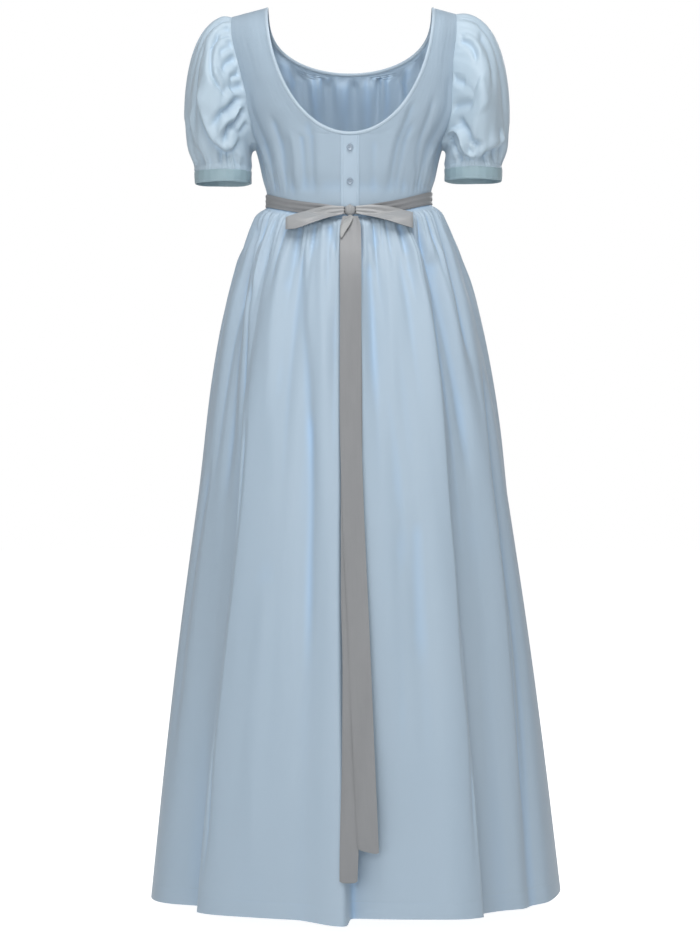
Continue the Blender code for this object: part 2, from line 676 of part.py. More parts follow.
def armhole_point(round_angle, side):
    """A point of the armhole edge, and the direction in the cloth that leads off the bodice."""
    angles, corners = armhole_corners(side)
    around = wrap(round_angle)
    start = stack(*[np.interp(around, angles, corners[:, k]) for k in range(3)])

    def edge(angle):
        turn, root = armhole_turn(angle)
        return torso_form(side * turn, root)

    turn, root = armhole_turn(round_angle)
    out = normal_of(torso_form, side * turn, np.clip(root, 1e-4, None))
    along = edge(round_angle + 1e-3) - edge(round_angle - 1e-3)
    return start, unit(np.cross(out, along)) * -side


def sleeve_form(round_angle, down, cut):
    """The sleeve without gathers: a smooth puff from the armhole (down 0) to the band (down 1)."""
    side = cut["side"]
    start, off = armhole_point(round_angle, side)
    start = start + off * SEAM
    band_x = side * (cut["middle"] + cut["half_width"] * np.cos(round_angle))
    band_y = CUFF_HALF_DEPTH * np.sin(round_angle)
    end = stack(band_x, band_y, cut["band_top"] + GAP)
    puff = PUFF["left" if side > 0 else "right"]
    ways = stack(side, np.sin(round_angle), 1.0)
    lead = blend_round(puff, "start", round_angle) * ways
    arrive = blend_round(puff, "end", round_angle) * ways
    t = np.asarray(down)[..., None]
    first = start + lead
    second = end + arrive
    early = start * (1 - t) ** 3 + first * 3 * t * (1 - t) ** 2
    return early + second * 3 * t * t * (1 - t) + end * t ** 3


def sleeve_gathers(round_angle, down):
    """Height of the gathers at the cap and at the band above the sleeve's form."""
    cap = ease(np.cos(round_angle), -0.60, 0.00)
    under = ease(-np.cos(round_angle), 0.55, 0.95)
    height = cap * gathers("cap", round_angle, down) + gathers("band", round_angle, down)
    return (height + gathers("billow", round_angle, down)) * (1 - 0.8 * under)


def sleeve(name, cut, finish):
    """A puffed sleeve, gathered into the armhole and into its band."""
    side = cut["side"]
    outer = []
    inner = []
    for down, count in SLEEVE_ROWS:
        round_angle = np.arange(count) * 2 * math.pi / count + 0.02
        level = np.full(count, down)

        def form(angle, depth):
            return sleeve_form(angle, depth, cut)

        out = normal_of(form, round_angle, level) * -side
        height = sleeve_gathers(round_angle, level)
        outer.append(form(round_angle, level) + out * height[:, None])
        inner.append(form(round_angle, level) + out * (height - CLOTH)[:, None])
    return wall(name, outer, inner, finish, closed=True)


def cuff(name, cut, finish):
    """The plain band that the sleeve is gathered into."""
    round_angle = np.arange(28) * 2 * math.pi / 28
    faces = []
    for inset in (0.0, CUFF_WALL):
        rows = []
        for drop in (0.0, CUFF_HEIGHT):
            x = cut["side"] * (cut["middle"] + (cut["half_width"] - inset) * np.cos(round_angle))
            y = (CUFF_HALF_DEPTH - inset) * np.sin(round_angle)
            rows.append(stack(x, y, cut["band_top"] - drop))
        faces.append(rows)
    return wall(name, faces[0], faces[1], finish, closed=True)


# ---------------------------------------------------------------- the skirt

def level_of(values, down):
    """A value that runs from the first at the waist through the second half way down to the third."""
    waist_value, middle_value, hem_value = values
    early = waist_value + (middle_value - waist_value) * ease(down, 0.0, 0.5)
    return early + (hem_value - middle_value) * ease(down, 0.5, 1.0)


def large_folds(turn, down):
    """Height of the skirt's large folds above its form."""
    around = 0.13 + 0.16 * down
    height = np.zeros(np.broadcast(turn, down).shape)
    for fold in FOLDS:
        middle = np.radians(level_of(fold["turns"], down))
        depth = level_of(fold["depths"], down) * ease(down, 0.012, 0.060)
        width = fold["widths"][0] + (fold["widths"][1] - fold["widths"][0]) * down
        arc = wrap(turn - middle) * around
        if fold["proud"] == 0:
            height += depth * np.exp(-(arc / width) ** 2)
        else:
            reach = 0.030 + 0.035 * down
            height += depth * np.tanh(fold["proud"] * arc / width) * np.exp(-(arc / reach) ** 2)
    return height


def hem_height(turn):
    """Height of the hem: lower where the centre lap hangs free, higher at the wearer's right side."""
    around = np.degrees(wrap(turn))
    lap = ease(around, 0.5, 2.0) * (1 - ease(around, 3.0, 17.0))
    right = ease(-around, 55.0, 86.0) * (1 - ease(-around, 96.0, 140.0))
    return HEM - HEM_LAP_DROP * lap + HEM_RIGHT_RISE * right


def skirt_form(turn, down):
    """The skirt without folds.  down runs from the waist seam (0) to the hem (1)."""
    below = down * SKIRT_LENGTH
    back = curve(SKIRT, "below", "back_depth", below)
    front = curve(SKIRT, "below", "front_depth", below)
    half_width = curve(SKIRT, "below", "half_width", below)
    depth = np.where(np.cos(turn) > 0, back, front)
    lean = WAIST_LEAN * np.sign(np.sin(turn)) * (1 - ease(below, 0.0, 0.4))
    x = half_width * (1 + lean) * np.sin(turn) - SKIRT_LEAN * down
    height = waist(turn) + (hem_height(turn) - waist(turn)) * down
    return stack(x, depth * np.cos(turn), height)


def skirt_out(turn, down):
    """Level outward direction of the skirt's form."""
    below = down * SKIRT_LENGTH
    half_width = curve(SKIRT, "below", "half_width", below)
    back = curve(SKIRT, "below", "back_depth", below)
    front = curve(SKIRT, "below", "front_depth", below)
    return unit(stack(np.sin(turn) / half_width, np.cos(turn) * 2 / (back + front), np.zeros_like(turn)))


def skirt_surface(turn, down):
    """Outer face of the skirt."""
    below = down * SKIRT_LENGTH
    height = large_folds(turn, down)
    height += gathers("skirt_fine", turn, below) + gathers("skirt_broad", turn, below)
    return skirt_form(turn, down) + skirt_out(turn, down) * height[..., None]


def skirt(name, middle, rows, finish):
    """A skirt panel, half of the way round, between the side seams."""
    shift = np.array([0.0, math.cos(middle) * GAP / 2, -GAP])
    outer = []
    inner = []
    for below, count in rows:
        turn = middle + np.linspace(-QUARTER, QUARTER, count + 1)
        down = np.full(count + 1, below / SKIRT_LENGTH)
        face = skirt_surface(turn, down)
        out = normal_of(skirt_surface, turn, down)
        out[:, 2] *= ease(down, 0.0, 0.02) * (1 - ease(down, 0.98, 1.0))
        outer.append(face + shift)
        inner.append(face + shift - unit(out) * CLOTH)
    return wall(name, outer, inner, finish)


# ---------------------------------------------------------------- the sash and its bow

def sash_face(turn, rise, lift):
    """A point of the sash: rise above the waist seam, lift off the cloth beneath."""
    height = waist(turn) + rise
    table, by, at = (TORSO, "height", height) if rise[0] > 0 else (SKIRT, "below", -rise)
    half_width = curve(table, by, "half_width", at) * (1 + WAIST_LEAN * np.sign(np.sin(turn)))
    back = curve(table, by, "back_depth", at)
    front = curve(table, by, "front_depth", at)
    depth = np.where(np.cos(turn) > 0, back, front)
    return stack((half_width + lift) * np.sin(turn), (depth + lift) * np.cos(turn), height)


def sash_half(turn):
    """Half of the sash's height, which the knot draws together."""
    half_width = curve(TORSO, "height", "half_width", WAIST_SIDE)
    away = np.where(np.cos(turn) > 0, np.sin(turn) * half_width, 1.0)
    return SASH_HALF - SASH_PINCH * np.exp(-(away / SASH_PINCH_REACH) ** 2)


def sash(name, finish):
    """The ribbon round the high waist."""
    turn = np.arange(64) * 2 * math.pi / 64
    faces = []
    for lift in (SASH_LIFT + RIBBON_WALL, SASH_LIFT):
        rows = [sash_face(turn, share * sash_half(turn), lift) for share in (1.0, -1.0)]
        faces.append(rows)
    return wall(name, faces[0], faces[1], finish, closed=True)


def knot_middle():
    """Centre of the knot, which sits on the sash at the centre back."""
    behind = SKIRT[0]["back_depth"] + SASH_LIFT + RIBBON_WALL + GAP
    return np.array([0.0, behind + KNOT_SIZE[1], WAIST_BACK])


def squared(value):
    """A sine or cosine pushed outwards, so that a ball made with it is a little square."""
    return math.copysign(abs(value) ** KNOT_SQUARE, value)


def knot(name, finish):
    """The drawn-up knot, a rounded pad with a few folds running down it."""
    middle = knot_middle()
    rings = 9
    sides = 16
    points = [middle + np.array([0, 0, KNOT_SIZE[2]])]
    for ring in range(1, rings):
        tilt = math.pi * ring / rings
        for k in range(sides):
            angle = 2 * math.pi * k / sides
            fold = 1 + 0.06 * math.cos(4 * angle + 0.6) * math.sin(tilt)
            wide = squared(math.sin(tilt))
            x = squared(math.cos(angle)) * wide * fold
            y = squared(math.sin(angle)) * wide
            points.append(middle + np.array([x, y, squared(math.cos(tilt))]) * np.array(KNOT_SIZE))
    points.append(middle - np.array([0, 0, KNOT_SIZE[2]]))
    faces = []
    for k in range(sides):
        after = (k + 1) % sides
        faces.append((0, 1 + k, 1 + after))
        for ring in range(rings - 2):
            low = 1 + ring * sides
            faces.append((low + k, low + sides + k, low + sides + after, low + after))
        last = 1 + (rings - 2) * sides
        faces.append((last + after, last + k, len(points) - 1))
    return body(name, points, faces, finish)


def clear_depth(x, z):
    """How far behind the side seams a ribbon has to lie to pass over the skirt's gathers."""
    below = np.clip(waist(np.arcsin(np.clip(x / SKIRT[0]["half_width"], -1, 1))) - z, 0, None) + 0.004
    spare = 0.0060 * ease(below, 0.010, 0.030) + SASH_LIFT + RIBBON_WALL + GAP
    half_width = curve(SKIRT, "below", "half_width", below) + spare
    depth = curve(SKIRT, "below", "back_depth", below) + spare
    return depth * np.sqrt(np.clip(1 - (x / half_width) ** 2, 0.05, 1))


def loop_path(length):
    """The ribbon's path seen from above: out on one layer, round the tip and back on the other.

    Each row is a distance from the loop's root and a distance off its middle.
    """
    tip = LOOP_BULGE / 2
    path = []
    for step in range(8):
        share = step / 8
        path.append((share * (length - tip), LOOP_ROOT + (tip - LOOP_ROOT) * math.sin(share * QUARTER)))
    bend = [math.radians(angle) for angle in range(90, -1, -18)]
    path += [(length - tip + tip * math.cos(angle), tip * math.sin(angle)) for angle in bend]
    return path + [(out, -off) for out, off in path[-2::-1]]


def bow_loop(name, side, shape, finish):
    """A loop of ribbon: out from the knot, round the tip and back again under itself."""
    root = shape[0]["out"]
    rows = []
    for distance, off in loop_path(shape[-1]["out"] - root):
        out = root + distance
        share = distance / (shape[-1]["out"] - root)
        across = np.linspace(-1, 1, 4)
        height = curve(shape, "out", "height", out) + curve(shape, "out", "half_width", out) * across
        cup = LOOP_CUP * (1 - across ** 2) * share * math.copysign(1, off)
        behind = clear_depth(out, height) + LOOP_BULGE / 2 + RIBBON_WALL + off + cup
        rows.append(stack(side * out, behind, height))
    rows = np.array(rows)
    along = np.gradient(rows, axis=0)
    width = np.gradient(rows, axis=1)
    out = unit(np.cross(along, width)) * side
    return wall(name, list(rows), list(rows - out * RIBBON_WALL), finish)


def tail_depth(x, z):
    """How far back the skirt's cloth reaches at a distance from the centre and a height."""
    down = np.clip((waist(np.zeros_like(z)) - z) / (WAIST_BACK - HEM), 0, 1)
    below = down * SKIRT_LENGTH
    half_width = curve(SKIRT, "below", "half_width", below)
    turn = np.arcsin(np.clip((x + SKIRT_LEAN * down) / half_width, -1, 1))
    return skirt_surface(turn, down)[..., 1]


def tail_bed(height):
    """How far back the cloth stands out under the hanging ribbons, near a height."""
    probe = np.linspace(-0.044, 0.020, 17)
    reach = min(0.030, 0.5 * (TAIL_TOP - height) + 0.002)
    levels = np.clip(height + reach * np.linspace(-1, 1, 5), HEM, TAIL_TOP)
    x, z = np.meshgrid(probe, levels)
    return max(tail_depth(x, z).max(), knot_middle()[1] - TAIL_LIFT - RIBBON_WALL)


def tail(name, shape, lift, slant, finish):
    """A hanging end of the ribbon, lying down the back of the skirt."""
    foot = shape[0]["height"]
    starts = TAIL_TOP - np.array(TAIL_STARTS)
    steps = np.arange(starts[-1] - TAIL_STEP, foot + TAIL_STEP / 3, -TAIL_STEP)
    heights = np.concatenate([starts, steps, [foot]])
    across = np.linspace(-1, 1, 4)
    outer = []
    inner = []
    for height in heights:
        middle = curve(shape, "height", "middle", height)
        half = curve(shape, "height", "half_width", height)
        x = middle + half * across
        end = ease(np.full(4, height), shape[0]["height"] + 0.05, shape[0]["height"])
        z = height + slant * across * end
        depth = tail_bed(height) + TAIL_LIFT + lift
        inner.append(stack(x, np.full(4, depth), z))
        outer.append(stack(x, np.full(4, depth + RIBBON_WALL), z))
    return wall(name, outer, inner, finish)


# ---------------------------------------------------------------- the gown

SKIRT_BACK_ROWS = [
    (0.000, 76), (0.010, 76), (0.016, 76), (0.028, 76), (0.048, 76), (0.080, 76), (0.130, 76),
    (0.220, 50), (0.310, 50), (0.420, 50), (0.540, 50), (0.660, 50), (0.780, 50), (0.900, 50),
    (1.000, 50), (SKIRT_LENGTH, 50),
]
SKIRT_FRONT_ROWS = [(below, 60 if count == 76 else 38) for below, count in SKIRT_BACK_ROWS]


def clear_scene():
    """Take away whatever the scene holds."""
    for item in list(bpy.data.objects):
        bpy.data.objects.remove(item, do_unlink=True)


def main():
    """Make every piece of the gown and hang them all on one empty."""
    clear_scene()
    cloth = look("blue_cloth", CLOTH_BLUE, 0.55)
    band = look("band_cloth", BAND_BLUE, 0.60)
    ribbon = look("taupe_ribbon", RIBBON_TAUPE, 0.40)
    shell = look("button_blue", BUTTON_BLUE, 0.35)

    pieces = [
        bodice_front("bodice_front", cloth),
        bodice_back("bodice_back_left", 1, cloth),
        bodice_back("bodice_back_right", -1, cloth),
        neck_binding("neck_binding", band),
        placket("placket", band),
        skirt("skirt_back", 0.0, SKIRT_BACK_ROWS, cloth),
        skirt("skirt_front", math.pi, SKIRT_FRONT_ROWS, cloth),
        sash("sash_band", ribbon),
        knot("bow_knot", ribbon),
        bow_loop("bow_loop_left", 1, LOOP_LEFT, ribbon),
        bow_loop("bow_loop_right", -1, LOOP_RIGHT, ribbon),
        tail("tail_long", TAIL_LONG, 0.0, 0.0, ribbon),
        tail("tail_short", TAIL_SHORT, RIBBON_WALL + 2 * GAP, 0.0036, ribbon),
    ]
    for name, height in BUTTON_HEIGHTS.items():
        pieces.append(button(name, height, shell))
    for side, cut in SLEEVES.items():
        pieces.append(sleeve("sleeve_" + side, cut, cloth))
        pieces.append(cuff("cuff_" + side, cut, band))

    gown = bpy.data.objects.new("gown", None)
    bpy.context.scene.collection.objects.link(gown)
    for piece in pieces:
        piece.parent = gown


main()
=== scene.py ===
"""The regency gown, dressed: fine cloth, ribbon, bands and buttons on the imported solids.

Metres, +Z up.  The front of the gown faces -Y and the wearer's left is +X.  The origin lies midway
between the shoulders, at the height of the neck points.

Two angles run round the gown.  "turn" goes round the body: 0 is the centre back, +90 degrees the
wearer's left side and 180 degrees the centre front.  "round" goes round an armhole or a sleeve band:
0 is its top or outer side, 90 degrees its back and 180 degrees its under or inner side.
"""

import math

import bpy
import numpy as np
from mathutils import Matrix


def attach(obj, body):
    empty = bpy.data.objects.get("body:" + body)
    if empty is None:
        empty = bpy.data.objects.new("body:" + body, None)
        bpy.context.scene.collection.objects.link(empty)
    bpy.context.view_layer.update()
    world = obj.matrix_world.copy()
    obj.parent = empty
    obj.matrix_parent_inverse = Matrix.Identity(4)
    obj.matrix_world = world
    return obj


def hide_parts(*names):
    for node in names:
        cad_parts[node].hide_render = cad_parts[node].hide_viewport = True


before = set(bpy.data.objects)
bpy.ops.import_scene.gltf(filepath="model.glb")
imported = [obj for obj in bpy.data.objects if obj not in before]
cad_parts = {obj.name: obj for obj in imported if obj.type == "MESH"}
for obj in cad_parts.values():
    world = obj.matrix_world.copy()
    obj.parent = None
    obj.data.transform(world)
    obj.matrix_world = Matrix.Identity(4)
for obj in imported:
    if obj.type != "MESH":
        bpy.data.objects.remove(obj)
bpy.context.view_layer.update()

# ---- driving dimensions

RIBBON_WALL = 0.0010       # wall of the ribbon in the solids
GAP = 0.0003               # between neighbouring pieces
SEAM = 0.0006              # between the armhole edge and the sleeve that is sewn to it

NECK_HALF = 0.1275         # centre of the neck opening to its edge on the shoulder
NECK_BACK_DROP = 0.2035    # shoulder to the lowest point of the back neck edge
NECK_FRONT_DROP = 0.0905   # shoulder to the lowest point of the front neck edge
NECK_FRONT_SQUARE = 0.75   # below 1 the front neck edge is squarer than half an ellipse
SHOULDER_SLOPE = 0.27      # fall of the shoulder for each metre outwards
SHOULDER_ROUND = 0.055     # height over which the shoulder rounds over to its ridge
SLOPE_FADE = 0.020         # depth at which the shoulder's slope has died away
SHOULDER_LEAN = 0.055      # share by which the left shoulder is wider and the right one narrower
WAIST_LEAN = 0.012         # the same near the waist
CHEST = -0.170             # height at which both leans begin
SHOULDER_LEAN_END = -0.050
WAIST_LEAN_END = -0.220
SKIRT_LEAN_END = 0.4       # distance below the waist at which the waist's lean has died away

ARMHOLE_DROP = 0.2220      # shoulder ridge to the underarm
ARMHOLE_BACK = 0.0500      # reach of the armhole behind the shoulder ridge
ARMHOLE_FRONT = 0.0486     # reach of the armhole in front of it
ARMHOLE_TOP = 3e-4         # the armhole's top corners lie this angle behind and before the ridge

WAIST_SIDE = -0.2977       # height of the high waist seam at the sides
WAIST_TILT = 0.0022        # the seam is this much lower at the left side and higher at the right
WAIST_BACK = -0.3215       # and at the centre back, where the bow draws it down
WAIST_FRONT = -0.3060      # and at the centre front

SKIRT_LENGTH = 1.0773      # waist seam to hem at the side
HEM = WAIST_SIDE - SKIRT_LENGTH
SKIRT_LEAN = 0.0090        # the hem's middle lies this far to the wearer's right
HEM_LAP_DROP = 0.0060      # the centre lap hangs this much lower
HEM_LAP_TURNS = ((1.5, 2.3), (3.0, 17.0))   # degrees over which it begins and ends
HEM_RIGHT_RISE = 0.0110    # the hem at the wearer's right side is this much higher
HEM_RIGHT_TURNS = ((55.0, 86.0), (96.0, 140.0))

BINDING_WIDTH = 0.0040     # turned edge of the neck
PLACKET_WIDTH = 0.0280
BUTTON_RADIUS = 0.0050
BUTTON_HEIGHT = 0.0024
BUTTON_HEIGHTS = {"button_upper": -0.2260, "button_lower": -0.2765}

CUFF_HALF_DEPTH = 0.0480

SASH_HALF = 0.0092         # half of the sash's height where it lies flat
SASH_PINCH = 0.0042        # taken off that half at the knot
SASH_PINCH_REACH = 0.030
SASH_LIFT = 0.0008         # sash to the cloth beneath it
ABOVE_SASH = 0.0104        # a line this far above the waist seam is clear of the sash

KNOT_SIZE = (0.0080, 0.0066, 0.0084)   # half width, half depth, half height
LOOP_BULGE = 0.0110        # largest distance between a loop's two layers
LOOP_ROOT = 0.0017         # half of that distance at the knot
LOOP_CUP = 0.0010          # hollow across the ribbon of a loop
TAIL_LIFT = 0.0012         # tail to the skirt beneath it
TAIL_TOP = -0.3310         # height at which the hanging ends leave the knot

QUARTER = math.pi / 2


# ---- tables of sections and folds

def table(columns, rows):
    """Rows whose values go by the names of their columns."""
    return [dict(zip(columns.split(), row)) for row in rows]


# In a table of sections "at" is the height or the distance that its comment names.

# Sections of the bodice, by height.  Depths are measured from the plane of the side seams.
TORSO = table("at half_width back_depth front_depth", [
    (-0.345, 0.1270, 0.0900, 0.0985),
    (-0.290, 0.1272, 0.0902, 0.0990),
    (-0.260, 0.1330, 0.0955, 0.1130),
    (-0.222, 0.1425, 0.1000, 0.1230),
    (-0.190, 0.1590, 0.1030, 0.1210),
    (-0.160, 0.1730, 0.1050, 0.1140),
    (-0.125, 0.1810, 0.1050, 0.1040),
    (-0.085, 0.1900, 0.0990, 0.0940),
    (-0.045, 0.1960, 0.0860, 0.0830),
    (0.000, 0.1960, 0.0740, 0.0720),
])

# Sections of the skirt, by distance below the waist seam.
SKIRT = table("at half_width back_depth front_depth", [
    (0.000, 0.1270, 0.0900, 0.0985),
    (0.010, 0.1276, 0.0906, 0.0992),
    (0.015, 0.1350, 0.0968, 0.1056),
    (0.021, 0.1400, 0.1012, 0.1102),
    (0.032, 0.1452, 0.1055, 0.1145),
    (0.060, 0.1565, 0.1165, 0.1245),
    (0.100, 0.1700, 0.1295, 0.1355),
    (0.154, 0.1870, 0.1440, 0.1480),
    (0.216, 0.2010, 0.1570, 0.1600),
    (0.310, 0.2180, 0.1730, 0.1760),
    (0.460, 0.2395, 0.1960, 0.1980),
    (0.650, 0.2665, 0.2220, 0.2240),
    (0.840, 0.2905, 0.2430, 0.2440),
    (1.080, 0.3170, 0.2640, 0.2650),
])

# Large folds of the skirt.  "turns" are degrees and "depths" metres at the waist, half way down and at
# the hem, and "widths" are metres at the waist and the hem.  Where "proud" is 0 the fold is a rounded
# ridge, or a valley if its depth is negative.  Otherwise it is a lap, which stands proud on the side
# that "proud" names (+1 is towards larger turn) and sinks on the other.
FOLDS = table("turns widths depths proud", [
    ((66, 60, 58), (0.030, 0.055), (-0.005, -0.012, -0.030), 0),
    ((56, 46, 50), (0.006, 0.010), (0.003, 0.008, 0.016), -1),
    ((18, 15, 14), (0.012, 0.030), (-0.006, -0.007, -0.003), 0),
    ((5, 4, 1.95), (0.005, 0.008), (0.003, 0.007, 0.020), 1),
    ((-17, -22, -24), (0.012, 0.030), (-0.006, -0.007, -0.003), 0),
    ((-30, -28, -27), (0.020, 0.040), (0.002, 0.004, 0.014), 0),
    ((-39, -37, -36), (0.006, 0.009), (0.004, 0.009, 0.012), 1),
    ((-52, -50, -48), (0.024, 0.045), (-0.006, -0.010, -0.014), 0),
    ((-78, -70, -61), (0.012, 0.022), (-0.006, -0.009, -0.012), 0),
    ((104, 106, 108), (0.018, 0.035), (-0.006, -0.010, -0.016), 0),
    ((128, 131, 133), (0.007, 0.012), (0.003, 0.008, 0.014), 1),
    ((152, 154, 155), (0.016, 0.034), (-0.006, -0.009, -0.014), 0),
    ((176, 175, 173), (0.018, 0.040), (0.004, 0.008, 0.015), 0),
    ((197, 198, 200), (0.007, 0.011), (0.003, 0.008, 0.013), -1),
    ((219, 217, 216), (0.016, 0.036), (-0.006, -0.010, -0.015), 0),
    ((244, 243, 241), (0.018, 0.040), (-0.005, -0.009, -0.014), 0),
])

# Gathers: how many go round, half of a wave's height, the distances from the seam over which they
# rise, those over which they die away, and how unevenly they are spaced.  On a sleeve the distances
# are shares of the way down it.
GATHERS = {
    "front_waist": (30, 0.0022, (ABOVE_SASH, 0.030), (0.050, 0.170), 1.2),
    "front_neck": (30, 0.0034, (0.008, 0.022), (0.035, 0.110), 1.2),
    "side_waist": (21, 0.0016, (ABOVE_SASH, 0.030), (0.050, 0.170), 1.0),
    "cap": (17, 0.0034, (0.00, 0.07), (0.12, 0.45), 0.9),
    "band": (19, 0.0024, (0.62, 0.90), (0.90, 1.05), 0.8),
    "billow": (5, 0.0022, (0.00, 0.50), (0.50, 1.00), 0.2),
    "skirt_fine": (40, 0.0036, (0.010, 0.026), (0.050, 0.190), 1.3),
    "skirt_broad": (19, 0.0058, (0.016, 0.090), (0.140, 0.520), 0.9),
}

# Where the armhole and the neck edge begin on the bodice's back and front, as levels from the waist
# seam (0) to the shoulder seam (1), and the levels of the armhole's corners in the solids.
BACK_CUT = dict(
    underarm=0.36,
    neck=0.36,
    armhole=(0.36, 0.45, 0.54, 0.63, 0.72, 0.80, 0.87, 0.94, 1.00),
)
FRONT_CUT = dict(
    underarm=0.36,
    neck=0.66,
    armhole=(0.36, 0.46, 0.55, 0.61, 0.66, 0.69, 0.73, 0.78, 0.84, 0.885, 0.92, 0.96, 1.00),
)

# Where the sleeves are held: middle of the band, height of its top edge and half its width.
SLEEVES = {
    "left": dict(side=1, middle=0.1965, band_top=-0.2540, half_width=0.0440),
    "right": dict(side=-1, middle=0.1910, band_top=-0.2500, half_width=0.0445),
}

# Puff of each sleeve, at its top, its sides and beneath: how far its two control points stand off the
# armhole ("start") and off the band ("end"), each as (outwards, sideways, upwards).
PUFF = {
    "left": table("start end", [
        ((0.082, 0.000, 0.003), (0.026, 0.000, 0.030)),
        ((0.056, 0.046, 0.000), (0.000, 0.032, 0.060)),
        ((0.013, 0.000, 0.001), (-0.0035, 0.000, 0.011)),
    ]),
    "right": table("start end", [
        ((0.102, 0.000, 0.011), (0.014, 0.000, 0.014)),
        ((0.060, 0.046, 0.000), (0.000, 0.032, 0.060)),
        ((0.013, 0.000, 0.001), (-0.0035, 0.000, 0.011)),
    ]),
}

# The hanging ribbon ends: middle of the ribbon, by height, and half its width there.
TAIL_LONG = table("at middle half_width", [
    (-1.3185, 0.0022, 0.0131), (-1.2500, 0.0006, 0.0140), (-1.1450, -0.0033, 0.0152),
    (-1.0050, -0.0046, 0.0156), (-0.9010, -0.0025, 0.0158), (-0.6180, -0.0022, 0.0158),
    (-0.3860, -0.0004, 0.0158), (-0.3460, -0.0004, 0.0150), (-0.3310, -0.0005, 0.0110),
])
TAIL_SHORT = table("at middle half_width", [
    (-1.2740, -0.0266, 0.0157), (-1.1100, -0.0193, 0.0158), (-0.9710, -0.0135, 0.0160),
    (-0.8310, -0.0070, 0.0160), (-0.7600, -0.0041, 0.0160), (-0.6180, -0.0006, 0.0160),
    (-0.3860, -0.0012, 0.0160), (-0.3460, -0.0012, 0.0153), (-0.3310, -0.0005, 0.0114),
])

# Bow loops, from knot to tip: distance out, height of the ribbon's middle, half its width.
LOOP_LEFT = table("at height half_width", [
    (0.0094, -0.3215, 0.0058), (0.0300, -0.3235, 0.0088), (0.0560, -0.3300, 0.0110),
    (0.0800, -0.3375, 0.0118), (0.0980, -0.3415, 0.0095),
])
LOOP_RIGHT = table("at height half_width", [
    (0.0094, -0.3210, 0.0058), (0.0300, -0.3220, 0.0086), (0.0560, -0.3260, 0.0112),
    (0.0800, -0.3320, 0.0125), (0.0960, -0.3365, 0.0125),
])
LOOPS = {"left": LOOP_LEFT, "right": LOOP_RIGHT}

# ---- sizes and tables of the fine cloth

FINE_CLOTH = 0.0009        # the gown's cloth as it really is
FINE_BAND = 0.0010         # cloth of the placket, with its turned edges
FINE_RIBBON = 0.0006
HEM_TURNED = 0.0016        # the skirt's cloth where the hem is turned up
HEM_TURN = 0.0240          # depth of the turned hem
SIDE_GROOVE = 0.0007       # dip of the side seams
SIDE_GROOVE_REACH = 0.0022
SIDE_ALLOWANCE = 0.005     # radians of the front's cloth beyond each side seam
BODICE_REACH = 0.125       # about how far the bodice's cloth and the skirt's are from their axis
SKIRT_REACH = 0.27
BINDING_LENGTH = 1.1       # flat sizes, along the cloth and across it
BINDING_CUT = 0.014
CUFF_ROUND = 0.29
CUFF_CUT = 0.042
PLACKET_LENGTH = 0.107
SLEEVE_ROUND = 0.50
SASH_ROUND = 0.72
KNOT_LENGTH = 0.020
KNOT_ROUND = 0.05
LOOP_WIDTH = 0.022
TAIL_WIDTH = 0.031

PLACKET_LIFT = 0.0015      # the back's cloth to the placket's outer face
EDGE_FALL = 0.0005         # how much lower the placket's rounded edges are, and how far in that reaches
EDGE_FALL_REACH = 0.0009
STITCH_DIP = 0.0004        # how far the stitches draw it down, and how far that reaches
STITCH_DIP_REACH = 0.0008
STITCH_INSET = 0.0028      # placket's edge to its stitches
STITCH_LENGTH = 0.0021
PLACKET_STITCHES = (-0.2110, -0.3080, -0.0032)   # heights of the first one and the last, and the step
CUFF_STITCHES = 92
STITCH_DROP = 0.0158       # a band's top edge to its stitches
STITCH_LIFT = 0.0013       # the back's cloth to the placket's stitches
STITCH_SHARE = 0.66        # of the way from one of a band's stitches to the next
PLACKET_THREAD = 0.00022   # radius of the thread
CUFF_THREAD = 0.00024
BUTTON_THREAD = 0.00017
NO_STITCH_WAY = (0.31, 0.17, 0.94)   # a direction that no stitch runs in
THREAD = 0.0006            # from one thread of the sateen to the next
RIB = 0.0007               # from one rib of the ribbon to the next

SKIRT_COLUMNS = 392        # quads across a skirt panel
SKIRT_STEPS = 108          # and down it, above the hem
BODICE_COLUMNS = 96
BODICE_LEVELS = 84
SLEEVE_COLUMNS = 232
SLEEVE_STEPS = 92
SLEEVE_SEAM_TURN = 0.02    # the first column's angle round a sleeve
CUFF_COLUMNS = 160
NECK_STEPS = 64            # along each quarter of the neck edge
PLACKET_ROWS = 61
PLACKET_COLUMNS = 29
SASH_COLUMNS = 420
SASH_ROWS = 17
KNOT_ROWS = 40
KNOT_COLUMNS = 56
LOOP_COLUMNS = 21
TAIL_ROWS = 132
TAIL_PROBES = 34           # heights at which the skirt under a tail is measured
TAIL_COLUMNS = 15
LEAST_TURN = 1e-6          # the bodice's form has no normal at the centre itself
INSIDE = (0.0, 0.0, -0.3)  # a point inside the gown, which its outer faces look away from

CAMERA_PLACE = (0.0, 4.7, -0.7107)
CAMERA_LENS = 117.0
FLOOR_HEIGHT = -1.3960
FLOOR_REACH = 20.0
FLOOR_CORNERS = 96

# Finer rows of gathers on top of the broad ones.
FINE_GATHERS = {
    "front_waist": (74, 0.0009, (ABOVE_SASH, 0.018), (0.025, 0.080), 2.3),
    "front_neck": (78, 0.0014, (0.0045, 0.012), (0.018, 0.070), 2.1),
    "side_waist": (66, 0.00045, (ABOVE_SASH, 0.020), (0.020, 0.070), 1.7),
    "cap": (57, 0.0015, (0.00, 0.025), (0.03, 0.15), 1.9),
    "band": (58, 0.0012, (0.78, 0.94), (0.96, 1.05), 1.6),
    "skirt": (96, 0.0013, (0.010, 0.018), (0.028, 0.120), 2.6),
}

